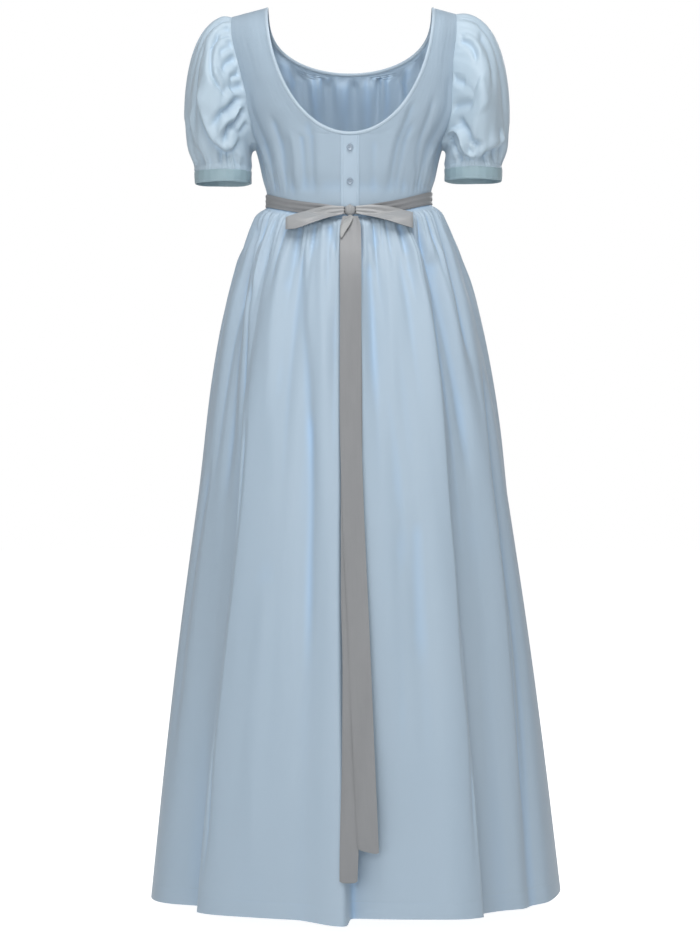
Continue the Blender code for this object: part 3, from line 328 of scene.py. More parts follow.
# How uneven gathers are: their least height, how much is added to it, and how far their lengths
# stray.  The last number makes the fine ones' spacing less even.
FINE_UNEVEN = (0.35, 1.1, 0.45, 1.4)
CAP_UNEVEN = (0.55, 0.9, 0.5)
SKIRT_UNEVEN = (0.65, 0.7, 0.35)

# Spans over which the gathers of the bodice's front and sides begin, by the cosine and the sine of the
# turn, and distances from the sash and the neck edge over which its creases do.
FRONT_FADE = (0.10, 0.60)
SIDE_FADE = (0.45, 0.80)
CLEAR_OF_SASH = (ABOVE_SASH, 0.030)
CLEAR_OF_NECK = (0.004, 0.016)

# Waves that make up the slow unevenness: height, how many go round and shift.
UNEVEN_WAVES = [(0.22, 7, 1.0), (0.16, 11, 2.3), (0.12, 17, 0.0)]

# Painted fold shade: corners deep in a fold's hollow get a bluer base colour, which stands in for the light
# that goes to and fro there.
HOLLOW_REACH = 36          # rounds of evening out that tell a fold's hollow from the cloth around it
HOLLOW_DEPTH = 0.0024      # a hollow this deep takes the whole tint
PAINTED_FOLD_SHADE_TINT = (0.93, 1.07, 1.22)

# Creases.  "path" runs along each one, "widths" are metres at its start and end and "depth" is how far
# it stands out, or sinks if it is negative.  One that has a "lap" side, +1 or -1, stands out on that
# side and sinks on the other.
# On the skirt a path is (turn in degrees, metres below the waist).
CREASE = "path widths depth lap"
SKIRT_CREASES = table(CREASE, [
    # the back
    ([(75, 0.03), (66, 0.085), (61, 0.15)], (0.004, 0.009), -0.0028),
    ([(62, 0.05), (57, 0.12), (54, 0.24)], (0.006, 0.013), 0.003),
    ([(54.5, 0.11), (52, 0.231), (49.5, 0.33)], (0.007, 0.012), -0.0045),
    ([(38, 0.06), (37, 0.18), (35, 0.33)], (0.006, 0.012), 0.002),
    ([(31, 0.024), (32, 0.08), (33, 0.14)], (0.004, 0.008), -0.0024),
    ([(27.5, 0.034), (22, 0.141), (16, 0.297), (15.5, 0.45), (15, 0.7)], (0.005, 0.01), 0.0042, -1),
    ([(15.5, 0.05), (12, 0.188), (10, 0.33)], (0.007, 0.012), 0.0024),
    ([(12, 0.02), (8, 0.072)], (0.006, 0.003), -0.003),
    ([(-12, 0.014), (-12, 0.064)], (0.0025, 0.004), -0.0022),
    ([(-16.5, 0.018), (-15.5, 0.066)], (0.0025, 0.004), -0.002),
    ([(-19, 0.022), (-18, 0.11)], (0.003, 0.006), -0.0024),
    ([(-18.5, 0.06), (-16, 0.225), (-17.5, 0.341), (-19, 0.451), (-20.5, 0.6)],
     (0.006, 0.01), 0.0036, -1),
    ([(-31.5, 0.026), (-31.5, 0.084)], (0.006, 0.004), -0.0034),
    ([(-36.5, 0.04), (-45, 0.114), (-41.5, 0.23), (-43.5, 0.46)], (0.006, 0.011), 0.0045, 1),
    ([(-45.5, 0.028), (-47.5, 0.09)], (0.003, 0.005), -0.0022),
    ([(-16.5, 0.47), (-14, 0.9)], (0.01, 0.014), -0.0018),
    ([(-23.5, 0.47), (-21.5, 0.72)], (0.008, 0.012), -0.0016),
    ([(-60, 0.06), (-56, 0.16), (-54, 0.33)], (0.006, 0.012), 0.0026),
    ([(-79.5, 0.09), (-77, 0.24), (-68.5, 0.389), (-66.5, 0.567), (-64, 0.76)], (0.006, 0.012), 0.004, 1),
    ([(30, 0.56), (31, 0.78), (30, 1.06)], (0.014, 0.018), 0.0026),
    ([(73, 0.38), (76, 0.62), (75, 0.96)], (0.01, 0.018), -0.0034),
    ([(-38.5, 0.35), (-37.5, 0.537), (-35.5, 0.681), (-35.5, 0.804), (-34, 0.926), (-33.5, 1.047)],
     (0.0035, 0.0045), -0.0036),
    ([(46, 0.3), (44.5, 0.42), (44.5, 0.56), (46, 0.819), (45.5, 0.968), (48.5, 1.071)],
     (0.004, 0.0045), -0.0028),
    ([(17, 0.3), (15, 0.42), (14.8, 0.56), (14.6, 0.74)], (0.006, 0.008), -0.0036),
    ([(-65.5, 0.5), (-63, 0.72), (-60.5, 0.98)], (0.0045, 0.006), -0.0036),
    ([(70, 0.1), (63, 0.2), (60, 0.34), (59.5, 0.52)], (0.011, 0.016), -0.0085),
    ([(56.5, 0.13), (53.5, 0.26), (52, 0.42)], (0.006, 0.009), 0.0022),
    ([(-52, 0.07), (-50, 0.16), (-52, 0.3), (-53, 0.47)], (0.009, 0.014), -0.008),
    ([(-66, 0.06), (-64, 0.15), (-62, 0.27)], (0.006, 0.01), -0.0046),
    ([(-10, 0.075), (-9, 0.17), (-9.5, 0.33)], (0.007, 0.01), -0.0036),
    ([(33, 0.1), (31, 0.2), (31.5, 0.36)], (0.008, 0.012), -0.003),
    # the sides and the front
    ([(88, 0.028), (92, 0.1), (94, 0.19)], (0.004, 0.009), -0.0026),
    ([(97, 0.06), (99, 0.19), (97, 0.42)], (0.007, 0.013), 0.0036),
    ([(112, 0.03), (116, 0.12), (118, 0.26)], (0.005, 0.01), -0.0034),
    ([(122, 0.046), (124, 0.2), (126, 0.43), (125, 0.64)], (0.006, 0.012), 0.004, 1),
    ([(141, 0.024), (139, 0.11), (142, 0.23)], (0.004, 0.01), -0.0028),
    ([(147, 0.06), (149, 0.24), (146, 0.52)], (0.007, 0.014), 0.003),
    ([(160, 0.034), (163, 0.15), (161, 0.3)], (0.005, 0.011), -0.003),
    ([(169, 0.05), (168, 0.22), (170, 0.47), (169, 0.72)], (0.006, 0.012), 0.0038, -1),
    ([(181, 0.026), (183, 0.1), (182, 0.21)], (0.004, 0.009), -0.0026),
    ([(188, 0.06), (190, 0.24), (187, 0.49)], (0.007, 0.013), 0.0028),
    ([(204, 0.03), (206, 0.14), (209, 0.28)], (0.005, 0.01), -0.0032),
    ([(213, 0.06), (211, 0.26), (213, 0.56)], (0.007, 0.014), 0.0034),
    ([(228, 0.034), (231, 0.13), (229, 0.27)], (0.004, 0.01), -0.003),
    ([(236, 0.05), (234, 0.21), (237, 0.44), (236, 0.68)], (0.006, 0.012), 0.004, -1),
    ([(252, 0.04), (255, 0.15), (253, 0.33)], (0.005, 0.011), -0.0032),
    ([(262, 0.08), (263, 0.26), (261, 0.52)], (0.007, 0.013), 0.003),
])

# On the bodice a path is (turn in degrees, height).
BODICE_CREASES = table(CREASE, [
    # the back
    ([(36, -0.195), (38, -0.25), (40, -0.3)], (0.004, 0.007), 0.0016),
    ([(46, -0.17), (48, -0.24), (52, -0.3)], (0.006, 0.009), -0.0028),
    ([(21, -0.18), (22.5, -0.235), (24.5, -0.31)], (0.0035, 0.005), 0.0019, 1),
    ([(30, -0.2), (31.5, -0.25), (33, -0.305)], (0.004, 0.007), -0.0019),
    ([(-32, -0.15), (-29.5, -0.21), (-25.5, -0.31)], (0.0035, 0.005), 0.0024, -1),
    ([(-37, -0.18), (-36, -0.24), (-34, -0.3)], (0.005, 0.008), -0.0022),
    ([(-15, -0.21), (-16, -0.26), (-17, -0.31)], (0.005, 0.007), -0.001),
    ([(-46, -0.14), (-48, -0.21), (-52, -0.3)], (0.005, 0.009), -0.0028),
    ([(-58, -0.11), (-60, -0.17), (-62, -0.23)], (0.006, 0.009), -0.0014),
    ([(60, -0.13), (62, -0.19), (64, -0.25)], (0.006, 0.009), -0.0013),
    ([(-66, -0.216), (-62, -0.25), (-60, -0.288)], (0.005, 0.008), 0.0014),
    ([(70, -0.216), (66, -0.25), (64, -0.288)], (0.005, 0.008), 0.0014),
    # the front
    ([(118, -0.13), (122, -0.19), (126, -0.26)], (0.006, 0.009), -0.0018),
    ([(136, -0.1), (138, -0.16), (137, -0.23)], (0.005, 0.009), -0.0024),
    ([(150, -0.1), (151, -0.17), (149, -0.25)], (0.005, 0.009), 0.0022),
    ([(163, -0.098), (162, -0.15), (164, -0.22)], (0.004, 0.008), -0.0026),
    ([(177, -0.098), (179, -0.17), (178, -0.26)], (0.005, 0.009), -0.0022),
    ([(192, -0.098), (190, -0.15), (191, -0.23)], (0.004, 0.008), -0.0026),
    ([(207, -0.1), (209, -0.17), (208, -0.25)], (0.005, 0.009), 0.0024),
    ([(222, -0.1), (220, -0.16), (222, -0.24)], (0.005, 0.009), -0.0022),
    ([(241, -0.13), (238, -0.19), (235, -0.26)], (0.006, 0.009), -0.0018),
])

# On a sleeve a path is (degrees round it, share of the way down).
SLEEVE_CREASES = {
    "left": table(CREASE, [
        # the back
        ([(50, 0.08), (60, 0.2), (80, 0.33), (104, 0.27)], (0.005, 0.008), -0.0062),
        ([(108, 0), (110, 0.33), (92, 0.58), (74, 0.74)], (0.004, 0.0058), -0.0095),
        ([(113, 0), (117, 0.36), (98, 0.64), (80, 0.8)], (0.004, 0.0058), 0.0055),
        ([(119, 0), (124, 0.36), (106, 0.66), (90, 0.84)], (0.004, 0.0056), -0.0095),
        ([(58, 0.4), (62, 0.6), (70, 0.73), (80, 0.81), (104, 0.85), (124, 0.66), (138, 0.2)],
         (0.0048, 0.0056), 0.0095, 1),
        ([(84, 0.2), (72, 0.45), (66, 0.64)], (0.012, 0.016), 0.0056),
        ([(45, 0.2), (48, 0.42), (44, 0.64), (46, 0.84)], (0.006, 0.009), -0.0036),
        ([(30, 0.06), (31, 0.26), (28, 0.62)], (0.006, 0.011), -0.0026),
        ([(62, 0), (66, 0.08), (70, 0.17)], (0.003, 0.005), -0.0052),
        ([(75, 0), (79, 0.1), (84, 0.2)], (0.003, 0.0055), -0.0064),
        ([(87, 0), (90, 0.08), (92, 0.15)], (0.0028, 0.0045), -0.0056),
        ([(98, 0), (100, 0.1), (99, 0.19)], (0.003, 0.005), -0.006),
        ([(46, 0), (47, 0.08), (50, 0.15)], (0.003, 0.005), -0.004),
        ([(131, 0.02), (134, 0.3), (120, 0.62)], (0.004, 0.007), -0.004),
        ([(26, 0.62), (36, 0.75), (48, 0.87), (56, 0.98)], (0.006, 0.007), 0.005, 1),
        ([(88, 0.88), (88, 0.93), (86, 0.99)], (0.007, 0.005), -0.0026),
        # the front
        ([(-24, 0.04), (-22, 0.22), (-26, 0.5)], (0.005, 0.01), -0.005),
        ([(-58, 0.02), (-50, 0.26), (-54, 0.56)], (0.005, 0.009), -0.0068),
        ([(-94, 0.01), (-84, 0.28), (-70, 0.6)], (0.004, 0.008), -0.0082),
        ([(-88, 0.02), (-76, 0.28), (-62, 0.6)], (0.005, 0.008), 0.0042),
        ([(-116, 0.01), (-106, 0.3), (-90, 0.66)], (0.004, 0.008), -0.0078),
        ([(-46, 0.42), (-58, 0.72), (-84, 0.84), (-112, 0.6)], (0.005, 0.007), 0.007, -1),
        ([(-40, 0.7), (-44, 0.84), (-42, 0.98)], (0.008, 0.004), -0.004),
        ([(-74, 0.86), (-80, 0.92), (-79, 0.98)], (0.008, 0.004), -0.004),
        ([(2, 0.64), (0, 0.82), (3, 0.98)], (0.01, 0.004), -0.0036),
    ]),
    "right": table(CREASE, [
        # the back
        ([(143, 0.02), (138, 0.22), (131, 0.42), (115, 0.79), (104, 0.9), (90, 0.915), (76, 0.84)],
         (0.0045, 0.006), 0.0078),
        ([(128, 0.12), (122, 0.48), (104, 0.75), (88, 0.83), (72, 0.82)], (0.005, 0.007), -0.0076),
        ([(148, 0.2), (142, 0.52), (126, 0.88), (112, 0.97)], (0.0035, 0.005), -0.0066),
        ([(118, 0.01), (111, 0.22), (102, 0.44)], (0.005, 0.009), -0.0044),
        ([(46, 0.14), (52, 0.32), (66, 0.56)], (0.008, 0.012), -0.0046),
        ([(84, 0.3), (82, 0.48), (80, 0.62)], (0.012, 0.016), 0.0042),
        ([(60, 0.02), (64, 0.13), (74, 0.23)], (0.003, 0.006), -0.0052),
        ([(55, 0.03), (58, 0.15), (68, 0.27)], (0.004, 0.007), 0.003),
        ([(92, 0), (94, 0.08), (95, 0.15)], (0.003, 0.0045), -0.003),
        ([(30, 0.1), (31, 0.4), (29, 0.74)], (0.007, 0.011), -0.0034),
        ([(22, 0.76), (40, 0.82), (60, 0.86), (78, 0.93), (92, 0.98)], (0.005, 0.006), 0.0075, 1),
        ([(40, 0.7), (43, 0.84), (40, 0.99)], (0.008, 0.004), -0.004),
        ([(62, 0.88), (64, 0.93), (62, 0.99)], (0.007, 0.004), -0.003),
        # the front
        ([(-20, 0.04), (-24, 0.24), (-22, 0.54)], (0.005, 0.01), -0.005),
        ([(-52, 0.02), (-48, 0.24), (-54, 0.56)], (0.005, 0.009), -0.0068),
        ([(-90, 0.01), (-80, 0.28), (-70, 0.6)], (0.004, 0.008), -0.0078),
        ([(-84, 0.02), (-72, 0.28), (-62, 0.6)], (0.005, 0.008), 0.004),
        ([(-114, 0.01), (-104, 0.3), (-94, 0.64)], (0.004, 0.008), -0.0072),
        ([(-44, 0.44), (-56, 0.74), (-82, 0.85), (-110, 0.62)], (0.005, 0.007), 0.0066, -1),
        ([(-34, 0.7), (-38, 0.84), (-36, 0.98)], (0.008, 0.004), -0.004),
        ([(-70, 0.86), (-76, 0.92), (-74, 0.98)], (0.008, 0.004), -0.004),
        ([(4, 0.66), (6, 0.84), (4, 0.98)], (0.01, 0.004), -0.0036),
    ]),
}

# Share of the gathers' full height at each sleeve's cap and band, and where their unevenness starts.
SLEEVE_FULLNESS = {
    "left": dict(cap=0.75, band=0.5, shift=0.0),
    "right": dict(cap=0.36, band=0.5, shift=1.7),
}
LAP_REACH = 3.2            # a lap dies away over this many of its widths
FINE_LAP = 0.45            # how much sharper the laps of the fine cloth are
LAP_CLOSE = math.radians(2.0)   # the skirt's columns are close together this near to a lap
CREASE_STEPS = 6           # straight steps between two points of a path
CREASE_FADES = ((0.0, 0.15), (0.68, 1.0))   # shares of its path over which it begins and dies away

# Section of the neck binding: how far outside the neck edge and how far off the cloth.
BINDING_SECTION = table("width lift", [
    (0.0042, 0.0001), (0.0038, 0.0007), (0.0028, 0.0010), (0.0014, 0.0011), (0.0002, 0.0010),
    (-0.0007, 0.0005), (-0.0010, -0.0004), (-0.0007, -0.0014), (0.0003, -0.0019), (0.0018, -0.0021),
    (0.0030, -0.0020), (0.0038, -0.0016), (0.0034, -0.0011), (0.0008, -0.0011), (0.0002, -0.0005),
    (0.0008, 0.0001), (0.0036, 0.00005),
])

# Looks of the cloths, in linear colours: a light one and a shade, which random blotches mix, and how much
# of the painted fold shade a sateen takes, or how rough a ribbon is.  Several are the gown's one cloth made
# lighter or darker, as painted light or painted shade.
SATEENS = {
    "blue_sateen": ((0.405, 0.500, 0.592), (0.365, 0.470, 0.570), 1.0),
    # painted shade: the gown's cloth made darker for the bodice
    "bodice_sateen_painted_shade": ((0.350, 0.434, 0.516), (0.316, 0.410, 0.498), 1.0),
    # painted light: the gown's cloth made lighter for the sleeves
    "sleeve_sateen": ((0.438, 0.530, 0.612), (0.392, 0.505, 0.592), 0.3),
    # the cloth's wrong side, lighter and bluer: partly its own tone and partly painted light
    "blue_sateen_reverse_painted_light": ((0.405, 0.515, 0.630), (0.355, 0.480, 0.605), 0.5),
    # painted shade: the gown's cloth made darker for the sleeve bands under the puffs
    "band_sateen": ((0.282, 0.392, 0.440), (0.282, 0.392, 0.440), 1.0),
    # painted highlight: the gown's cloth made lighter for the neck binding's turned edge
    "binding_sateen_painted_highlight": ((0.425, 0.520, 0.605), (0.425, 0.520, 0.605), 1.0),
}
TAUPE = (0.250, 0.255, 0.264)
RIBBONS = {
    "taupe_satin": (TAUPE, (0.206, 0.211, 0.219), 0.32),
    # painted sheen: a lighter copy of the same ribbon, for the knot and the loops
    "taupe_satin_painted_sheen": ((0.385, 0.390, 0.392), TAUPE, 0.28),
    "taupe_satin_reverse": ((0.450, 0.455, 0.445), TAUPE, 0.50),
}
SHELL_BLUE = (0.250, 0.310, 0.380)
THREAD_BLUE = (0.430, 0.520, 0.600)


# ---- small tools

def column(rows, name):
    """One named column of a table."""
    return np.array([row[name] for row in rows])


def curve(rows, name, at):
    """A column read at any place "at", on a smooth curve through the rows."""
    knots = column(rows, "at")
    values = column(rows, name)
    at = np.clip(at, knots[0], knots[-1])
    steps = np.diff(knots)
    rises = np.diff(values) / steps
    # the harmonic mean of the slopes on both sides keeps the curve from swinging past its rows
    same = rises[1:] * rises[:-1] > 0
    before = np.where(same, rises[:-1], 1.0)
    after = np.where(same, rises[1:], 1.0)
    near = 2 * steps[1:] + steps[:-1]
    far = steps[1:] + 2 * steps[:-1]
    inner = np.where(same, (near + far) / (near / before + far / after), 0.0)
    slopes = np.concatenate([rises[:1], inner, rises[-1:]])
    k = np.clip(np.searchsorted(knots, at, side="right") - 1, 0, len(knots) - 2)
    span = knots[k + 1] - knots[k]
    f = (at - knots[k]) / span
    start = values[k] * (1 + 2 * f) * (1 - f) ** 2 + slopes[k] * span * f * (1 - f) ** 2
    end = values[k + 1] * f * f * (3 - 2 * f) + slopes[k + 1] * span * f * f * (f - 1)
    return start + end


def form_depth(rows, at, turn):
    """Depth of a form behind or in front of the side seams."""
    back = curve(rows, "back_depth", at)
    return np.where(np.cos(turn) > 0, back, curve(rows, "front_depth", at))


def ease(value, start, end):
    """0 before start, 1 after end and a smooth rise between them."""
    f = np.clip((value - start) / (end - start), 0.0, 1.0)
    return f * f * (3 - 2 * f)


def plateau(value, rise, fall):
    """0 at first, a smooth rise to 1 over one span and a smooth fall back to 0 over another."""
    return ease(value, *rise) * (1 - ease(value, *fall))


def wrap(angle):
    """An angle brought between -180 and +180 degrees, in radians."""
    return (angle + math.pi) % (2 * math.pi) - math.pi


def stack(x, y, z):
    """Three coordinates as an array of points."""
    return np.stack(np.broadcast_arrays(x, y, z), axis=-1)


def unit(vectors):
    """Vectors scaled to length one."""
    return vectors / np.linalg.norm(vectors, axis=-1, keepdims=True)


def normal_of(surface, first, second, step=1e-4):
    """Normal of a surface given by two coordinates, from its two directions."""
    along = surface(first + step, second) - surface(first - step, second)
    across = surface(first, second + step) - surface(first, second - step)
    return unit(np.cross(along, across))


def grid(first, second):
    """Two lists of coordinates as a grid, with a row for each of the first."""
    return np.meshgrid(first, second, indexing="ij")


def round_angles(count):
    """Angles of a number of columns that go once round."""
    return np.arange(count) * 2 * math.pi / count


def grid_quads(rows, columns, closed=False):
    """Corner numbers of a grid's quads.  A closed grid joins its last column to its first."""
    i, j = grid(np.arange(rows - 1), np.arange(columns if closed else columns - 1))
    after = (j + 1) % columns
    low = i * columns
    high = low + columns
    return np.stack([low + j, low + after, high + after, high + j], axis=-1).reshape(-1, 4)


def fan(count, first, middle):
    """Quads that close a ring of corners, an even number from the first, round a middle one."""
    start = np.arange(0, count, 2)
    return np.stack([np.full(len(start), middle), first + start, first + start + 1,
                     first + (start + 2) % count], axis=1)


def grid_marks(down, across):
    """Places on the flat cloth, in metres, of the corners of a grid's quads."""
    v, u = grid(down, across)
    corners = [(u[:-1, :-1], v[:-1, :-1]), (u[:-1, 1:], v[:-1, 1:]), (u[1:, 1:], v[1:, 1:]),
               (u[1:, :-1], v[1:, :-1])]
    return np.stack([np.stack(corner, axis=-1) for corner in corners], axis=2).reshape(-1, 4, 2)


def corner_normals(points, quads):
    """Outward directions of a surface of quads at its corners."""
    first = points[quads[:, 2]] - points[quads[:, 0]]
    second = points[quads[:, 3]] - points[quads[:, 1]]
    faces = np.cross(first, second)
    total = np.zeros_like(points)
    for k in range(4):
        np.add.at(total, quads[:, k], faces)
    return total / np.maximum(np.linalg.norm(total, axis=1, keepdims=True), 1e-12)


def facing(points, quads, marks, inside):
    """Quads and marks turned so that the surface looks away from what is inside it, and its normals."""
    normals = corner_normals(points, quads)
    if np.mean(np.sum(normals * (points - inside), axis=1)) < 0:
        return quads[:, ::-1], marks[:, ::-1], -normals
    return quads, marks, normals


def open_edges(quads):
    """Edges that only one quad has, as their start and end corners and their places in the list."""
    starts = quads.ravel()
    ends = np.roll(quads, -1, axis=1).ravel()
    keys = np.minimum(starts, ends) * (quads.max() + 1) + np.maximum(starts, ends)
    _, places, counts = np.unique(keys, return_index=True, return_counts=True)
    places = places[counts == 1]
    return starts[places], ends[places], places


def put_in_scene(name, data):
    """A new object in the scene."""
    made = bpy.data.objects.new(name, data)
    bpy.context.scene.collection.objects.link(made)
    return made


def mesh_piece(name, points, quads, marks, finishes, finish_of=None, sharp=50):
    """A mesh object from points, quads and the quads' places on the flat cloth."""
    mesh = bpy.data.meshes.new(name)
    mesh.from_pydata(points.tolist(), [], quads.tolist())
    flat = mesh.uv_layers.new(name="flat_cloth")
    flat.data.foreach_set("uv", marks.astype(np.float32).ravel())
    for finish in finishes:
        mesh.materials.append(finish)
    if finish_of is not None:
        mesh.polygons.foreach_set("material_index", finish_of.astype(np.int32))
    mesh.shade_smooth()
    mesh.set_sharp_from_angle(angle=math.radians(sharp))
    mesh.update()
    return put_in_scene(name, mesh)


def hollows(points, quads, normals):
    """How deep each corner lies in a fold of the cloth, from 0 to 1: the mask of the painted fold shade."""
    next_corners = np.roll(quads, -1, axis=1)
    starts = np.concatenate([quads.ravel(), next_corners.ravel()])
    ends = np.concatenate([next_corners.ravel(), quads.ravel()])
    neighbours = np.maximum(np.bincount(starts, minlength=len(points)), 1)[:, None]
    around = points
    for _ in range(HOLLOW_REACH):
        sums = [np.bincount(starts, around[ends, k], len(points)) for k in range(3)]
        around = (around + np.stack(sums, axis=1) / neighbours) / 2
    return np.clip(np.sum((around - points) * normals, axis=1) / HOLLOW_DEPTH, 0, 1)


def thick_sheet(name, points, quads, marks, thickness, finishes, inside=INSIDE):
    """A closed body of cloth: its outer face, an inner face behind it and the rims between them.

    inside is a point that the outer face looks away from.  A second finish is for the inner face.
    """
    quads, marks, normals = facing(points, quads, marks, inside)
    count = len(points)
    behind = points - normals * np.broadcast_to(thickness, count)[:, None]
    starts, ends, places = open_edges(quads)
    rims = np.stack([ends, starts, starts + count, ends + count], axis=1)
    edge_marks = marks.reshape(-1, 2)[places][:, None, :].repeat(4, axis=1)
    faces = np.concatenate([quads, quads[:, ::-1] + count, rims])
    all_marks = np.concatenate([marks, marks[:, ::-1], edge_marks])
    finish_of = np.zeros(len(faces))
    if len(finishes) > 1:
        finish_of[len(quads):2 * len(quads)] = 1
    piece = mesh_piece(name, np.concatenate([points, behind]), faces, all_marks, finishes, finish_of)
    # how deep each corner lies in a fold, the mask of the painted fold shade
    fold_shade_mask = piece.data.attributes.new("fold_shade_mask", "FLOAT", "POINT")
    fold_shade_mask.data.foreach_set("value", np.tile(hollows(points, quads, normals), 2).astype(np.float32))
    return piece


def grid_sheet(name, points, down, across, wall, finishes, inside=INSIDE, closed=False):
    """A closed body of cloth from a grid of points and its rows' and columns' places on the cloth."""
    quads = grid_quads(*points.shape[:2], closed)
    marks = grid_marks(down, across)
    return thick_sheet(name, points.reshape(-1, 3), quads, marks, wall, finishes, inside)


def hoop(name, sections, around, along, finish):
    """A closed body whose cross-sections follow each other in a ring.

    sections holds a row of points for each cross-section; around and along are its sizes in metres.
    """
    count, corners = sections.shape[:2]
    # the section after the last one is the first
    quads = grid_quads(count + 1, corners, closed=True) % (count * corners)
    marks = grid_marks(np.linspace(0, around, count + 1), np.linspace(0, along, corners + 1))
    points = sections.reshape(-1, 3)
    middle = sections.mean(axis=1, keepdims=True).repeat(corners, axis=1).reshape(-1, 3)
    along_first = [0, 3, 2, 1]
    quads, marks, _ = facing(points, quads[:, along_first], marks[:, along_first], middle)
    return mesh_piece(name, points, quads, marks, [finish])


def strands(name, starts, ends, radius, finish):
    """Short stitches, each a rounded bar from a start to an end, joined in one piece."""
    sides = 6
    # shares of the stitch's length and of its radius
    shape = [(-0.10, 0.15), (0.02, 0.75), (0.25, 1.0), (0.75, 1.0), (0.98, 0.75), (1.10, 0.15)]
    points = []
    quads = []
    marks = []
    angle = round_angles(sides)
    for start, end in zip(starts, ends):
        along = end - start
        side = unit(np.cross(along, NO_STITCH_WAY))
        rise = unit(np.cross(along, side))
        first = len(points) * len(shape) * sides
        bar = [
            start + along * share
            + radius * wide * (np.cos(angle)[:, None] * side + np.sin(angle)[:, None] * rise)
            for share, wide in shape
        ]
        points.append(np.concatenate(bar))
        quads.append(grid_quads(len(shape), sides, closed=True) + first)
        caps = [[3, 2, 1, 0], [5, 4, 3, 0]]
        last = (len(shape) - 1) * sides
        quads.append(np.array(caps + [[last + k for k in cap[::-1]] for cap in caps]) + first)
    quads = np.concatenate(quads)
    marks = np.zeros((len(quads), 4, 2))
    return mesh_piece(name, np.concatenate(points), quads, marks, [finish])


def smooth_path(path):
    """More points along a path, on a smooth curve through its own."""
    path = np.array(path, dtype=float)
    ends = np.concatenate([2 * path[:1] - path[1:2], path, 2 * path[-1:] - path[-2:-1]])
    made = []
    for before, start, end, after in zip(ends, ends[1:], ends[2:], ends[3:]):
        f = np.arange(CREASE_STEPS)[:, None] / CREASE_STEPS
        line = 2 * start + (end - before) * f + (2 * before - 5 * start + 4 * end - after) * f ** 2
        made.append((line + (3 * start - before - 3 * end + after) * f ** 3) / 2)
    return np.concatenate(made + [path[-1:]])


def creases(rows, angle, along, radius, stretch=1.0):
    """Height of a table of creases at places on the cloth.

    radius turns an angle into metres, as a function of along, and stretch does so for along.
    """
    height = np.zeros(np.broadcast(angle, along).shape)
    for row in rows:
        lap = row.get("lap")
        line = smooth_path(row["path"])
        middle = math.radians(line[:, 0].mean())
        line_x = (np.radians(line[:, 0]) - middle) * radius(line[:, 1])
        line_y = line[:, 1] * stretch
        x = wrap(angle - middle) * radius(along)
        y = along * stretch
        reach = max(row["widths"]) * (LAP_REACH if lap else 1.0) * 3
        near = (x > line_x.min() - reach) & (x < line_x.max() + reach)
        near &= (y > line_y.min() - reach) & (y < line_y.max() + reach)
        if not near.any():
            continue
        x = x[near]
        y = y[near]
        best = np.full(x.shape, 1e9)
        share = np.zeros(x.shape)
        side = np.zeros(x.shape)
        steps = len(line) - 1
        for k in range(steps):
            dx = line_x[k + 1] - line_x[k]
            dy = line_y[k + 1] - line_y[k]
            f = np.clip(((x - line_x[k]) * dx + (y - line_y[k]) * dy) / (dx * dx + dy * dy), 0, 1)
            away_x = x - line_x[k] - f * dx
            away_y = y - line_y[k] - f * dy
            distance = np.hypot(away_x, away_y)
            closer = distance < best
            best = np.where(closer, distance, best)
            share = np.where(closer, (k + f) / steps, share)
            side = np.where(closer, np.sign(away_x * dy - away_y * dx), side)
        width = row["widths"][0] + (row["widths"][1] - row["widths"][0]) * share
        fade = plateau(share, *CREASE_FADES)
        if lap:
            form = np.tanh(lap * side * best / width) * np.exp(-(best / (LAP_REACH * width)) ** 2)
        else:
            form = np.exp(-(best / width) ** 2)
        height[near] += row["depth"] * form * fade
    return height


def rounded_wave(phase):
    """A wave between about -1 and 1 with broad rounded tops and narrow valleys."""
    return 2 * np.sqrt(np.cos(phase / 2) ** 2 + 0.03) - 1.03


def unevenness(angle):
    """A slow uneven rise and fall, between 0 and 1, round the gown."""
    height = 0.5
    for part, count, shift in UNEVEN_WAVES:
        height = height + part * np.sin(count * angle + shift)
    return height


def uneven_gathers(row, angle, distance, uneven, least, spread, slack, jitter=0.0):
    """Height of a row of rounded gathers that are uneven in height, from least up, and in length."""
    count, height, begins, ends, sway = row
    phase = count * angle + sway * np.sin(3 * angle + sway) + jitter * np.sin(13 * angle)
    length = 1 + slack * (uneven - 0.5) * 2
    fade = ease(distance, *begins) * (1 - ease(distance / length, *ends))
    return height * (least + spread * uneven) * rounded_wave(phase) * fade


def fine_gathers(name, angle, distance):
    """Height of the small gathers between the broad ones."""
    return uneven_gathers(FINE_GATHERS[name], angle, distance, unevenness(angle), *FINE_UNEVEN)


# ---- looks

class Value:
    """A shader value that can stand in sums as a number does."""

    def __init__(self, look, socket):
        self.look = look
        self.socket = socket

    def __add__(self, other):
        return self.look.sum("ADD", self, other)

    def __radd__(self, other):
        return self.look.sum("ADD", other, self)

    def __mul__(self, other):
        return self.look.sum("MULTIPLY", self, other)

    def __rmul__(self, other):
        return self.look.sum("MULTIPLY", other, self)


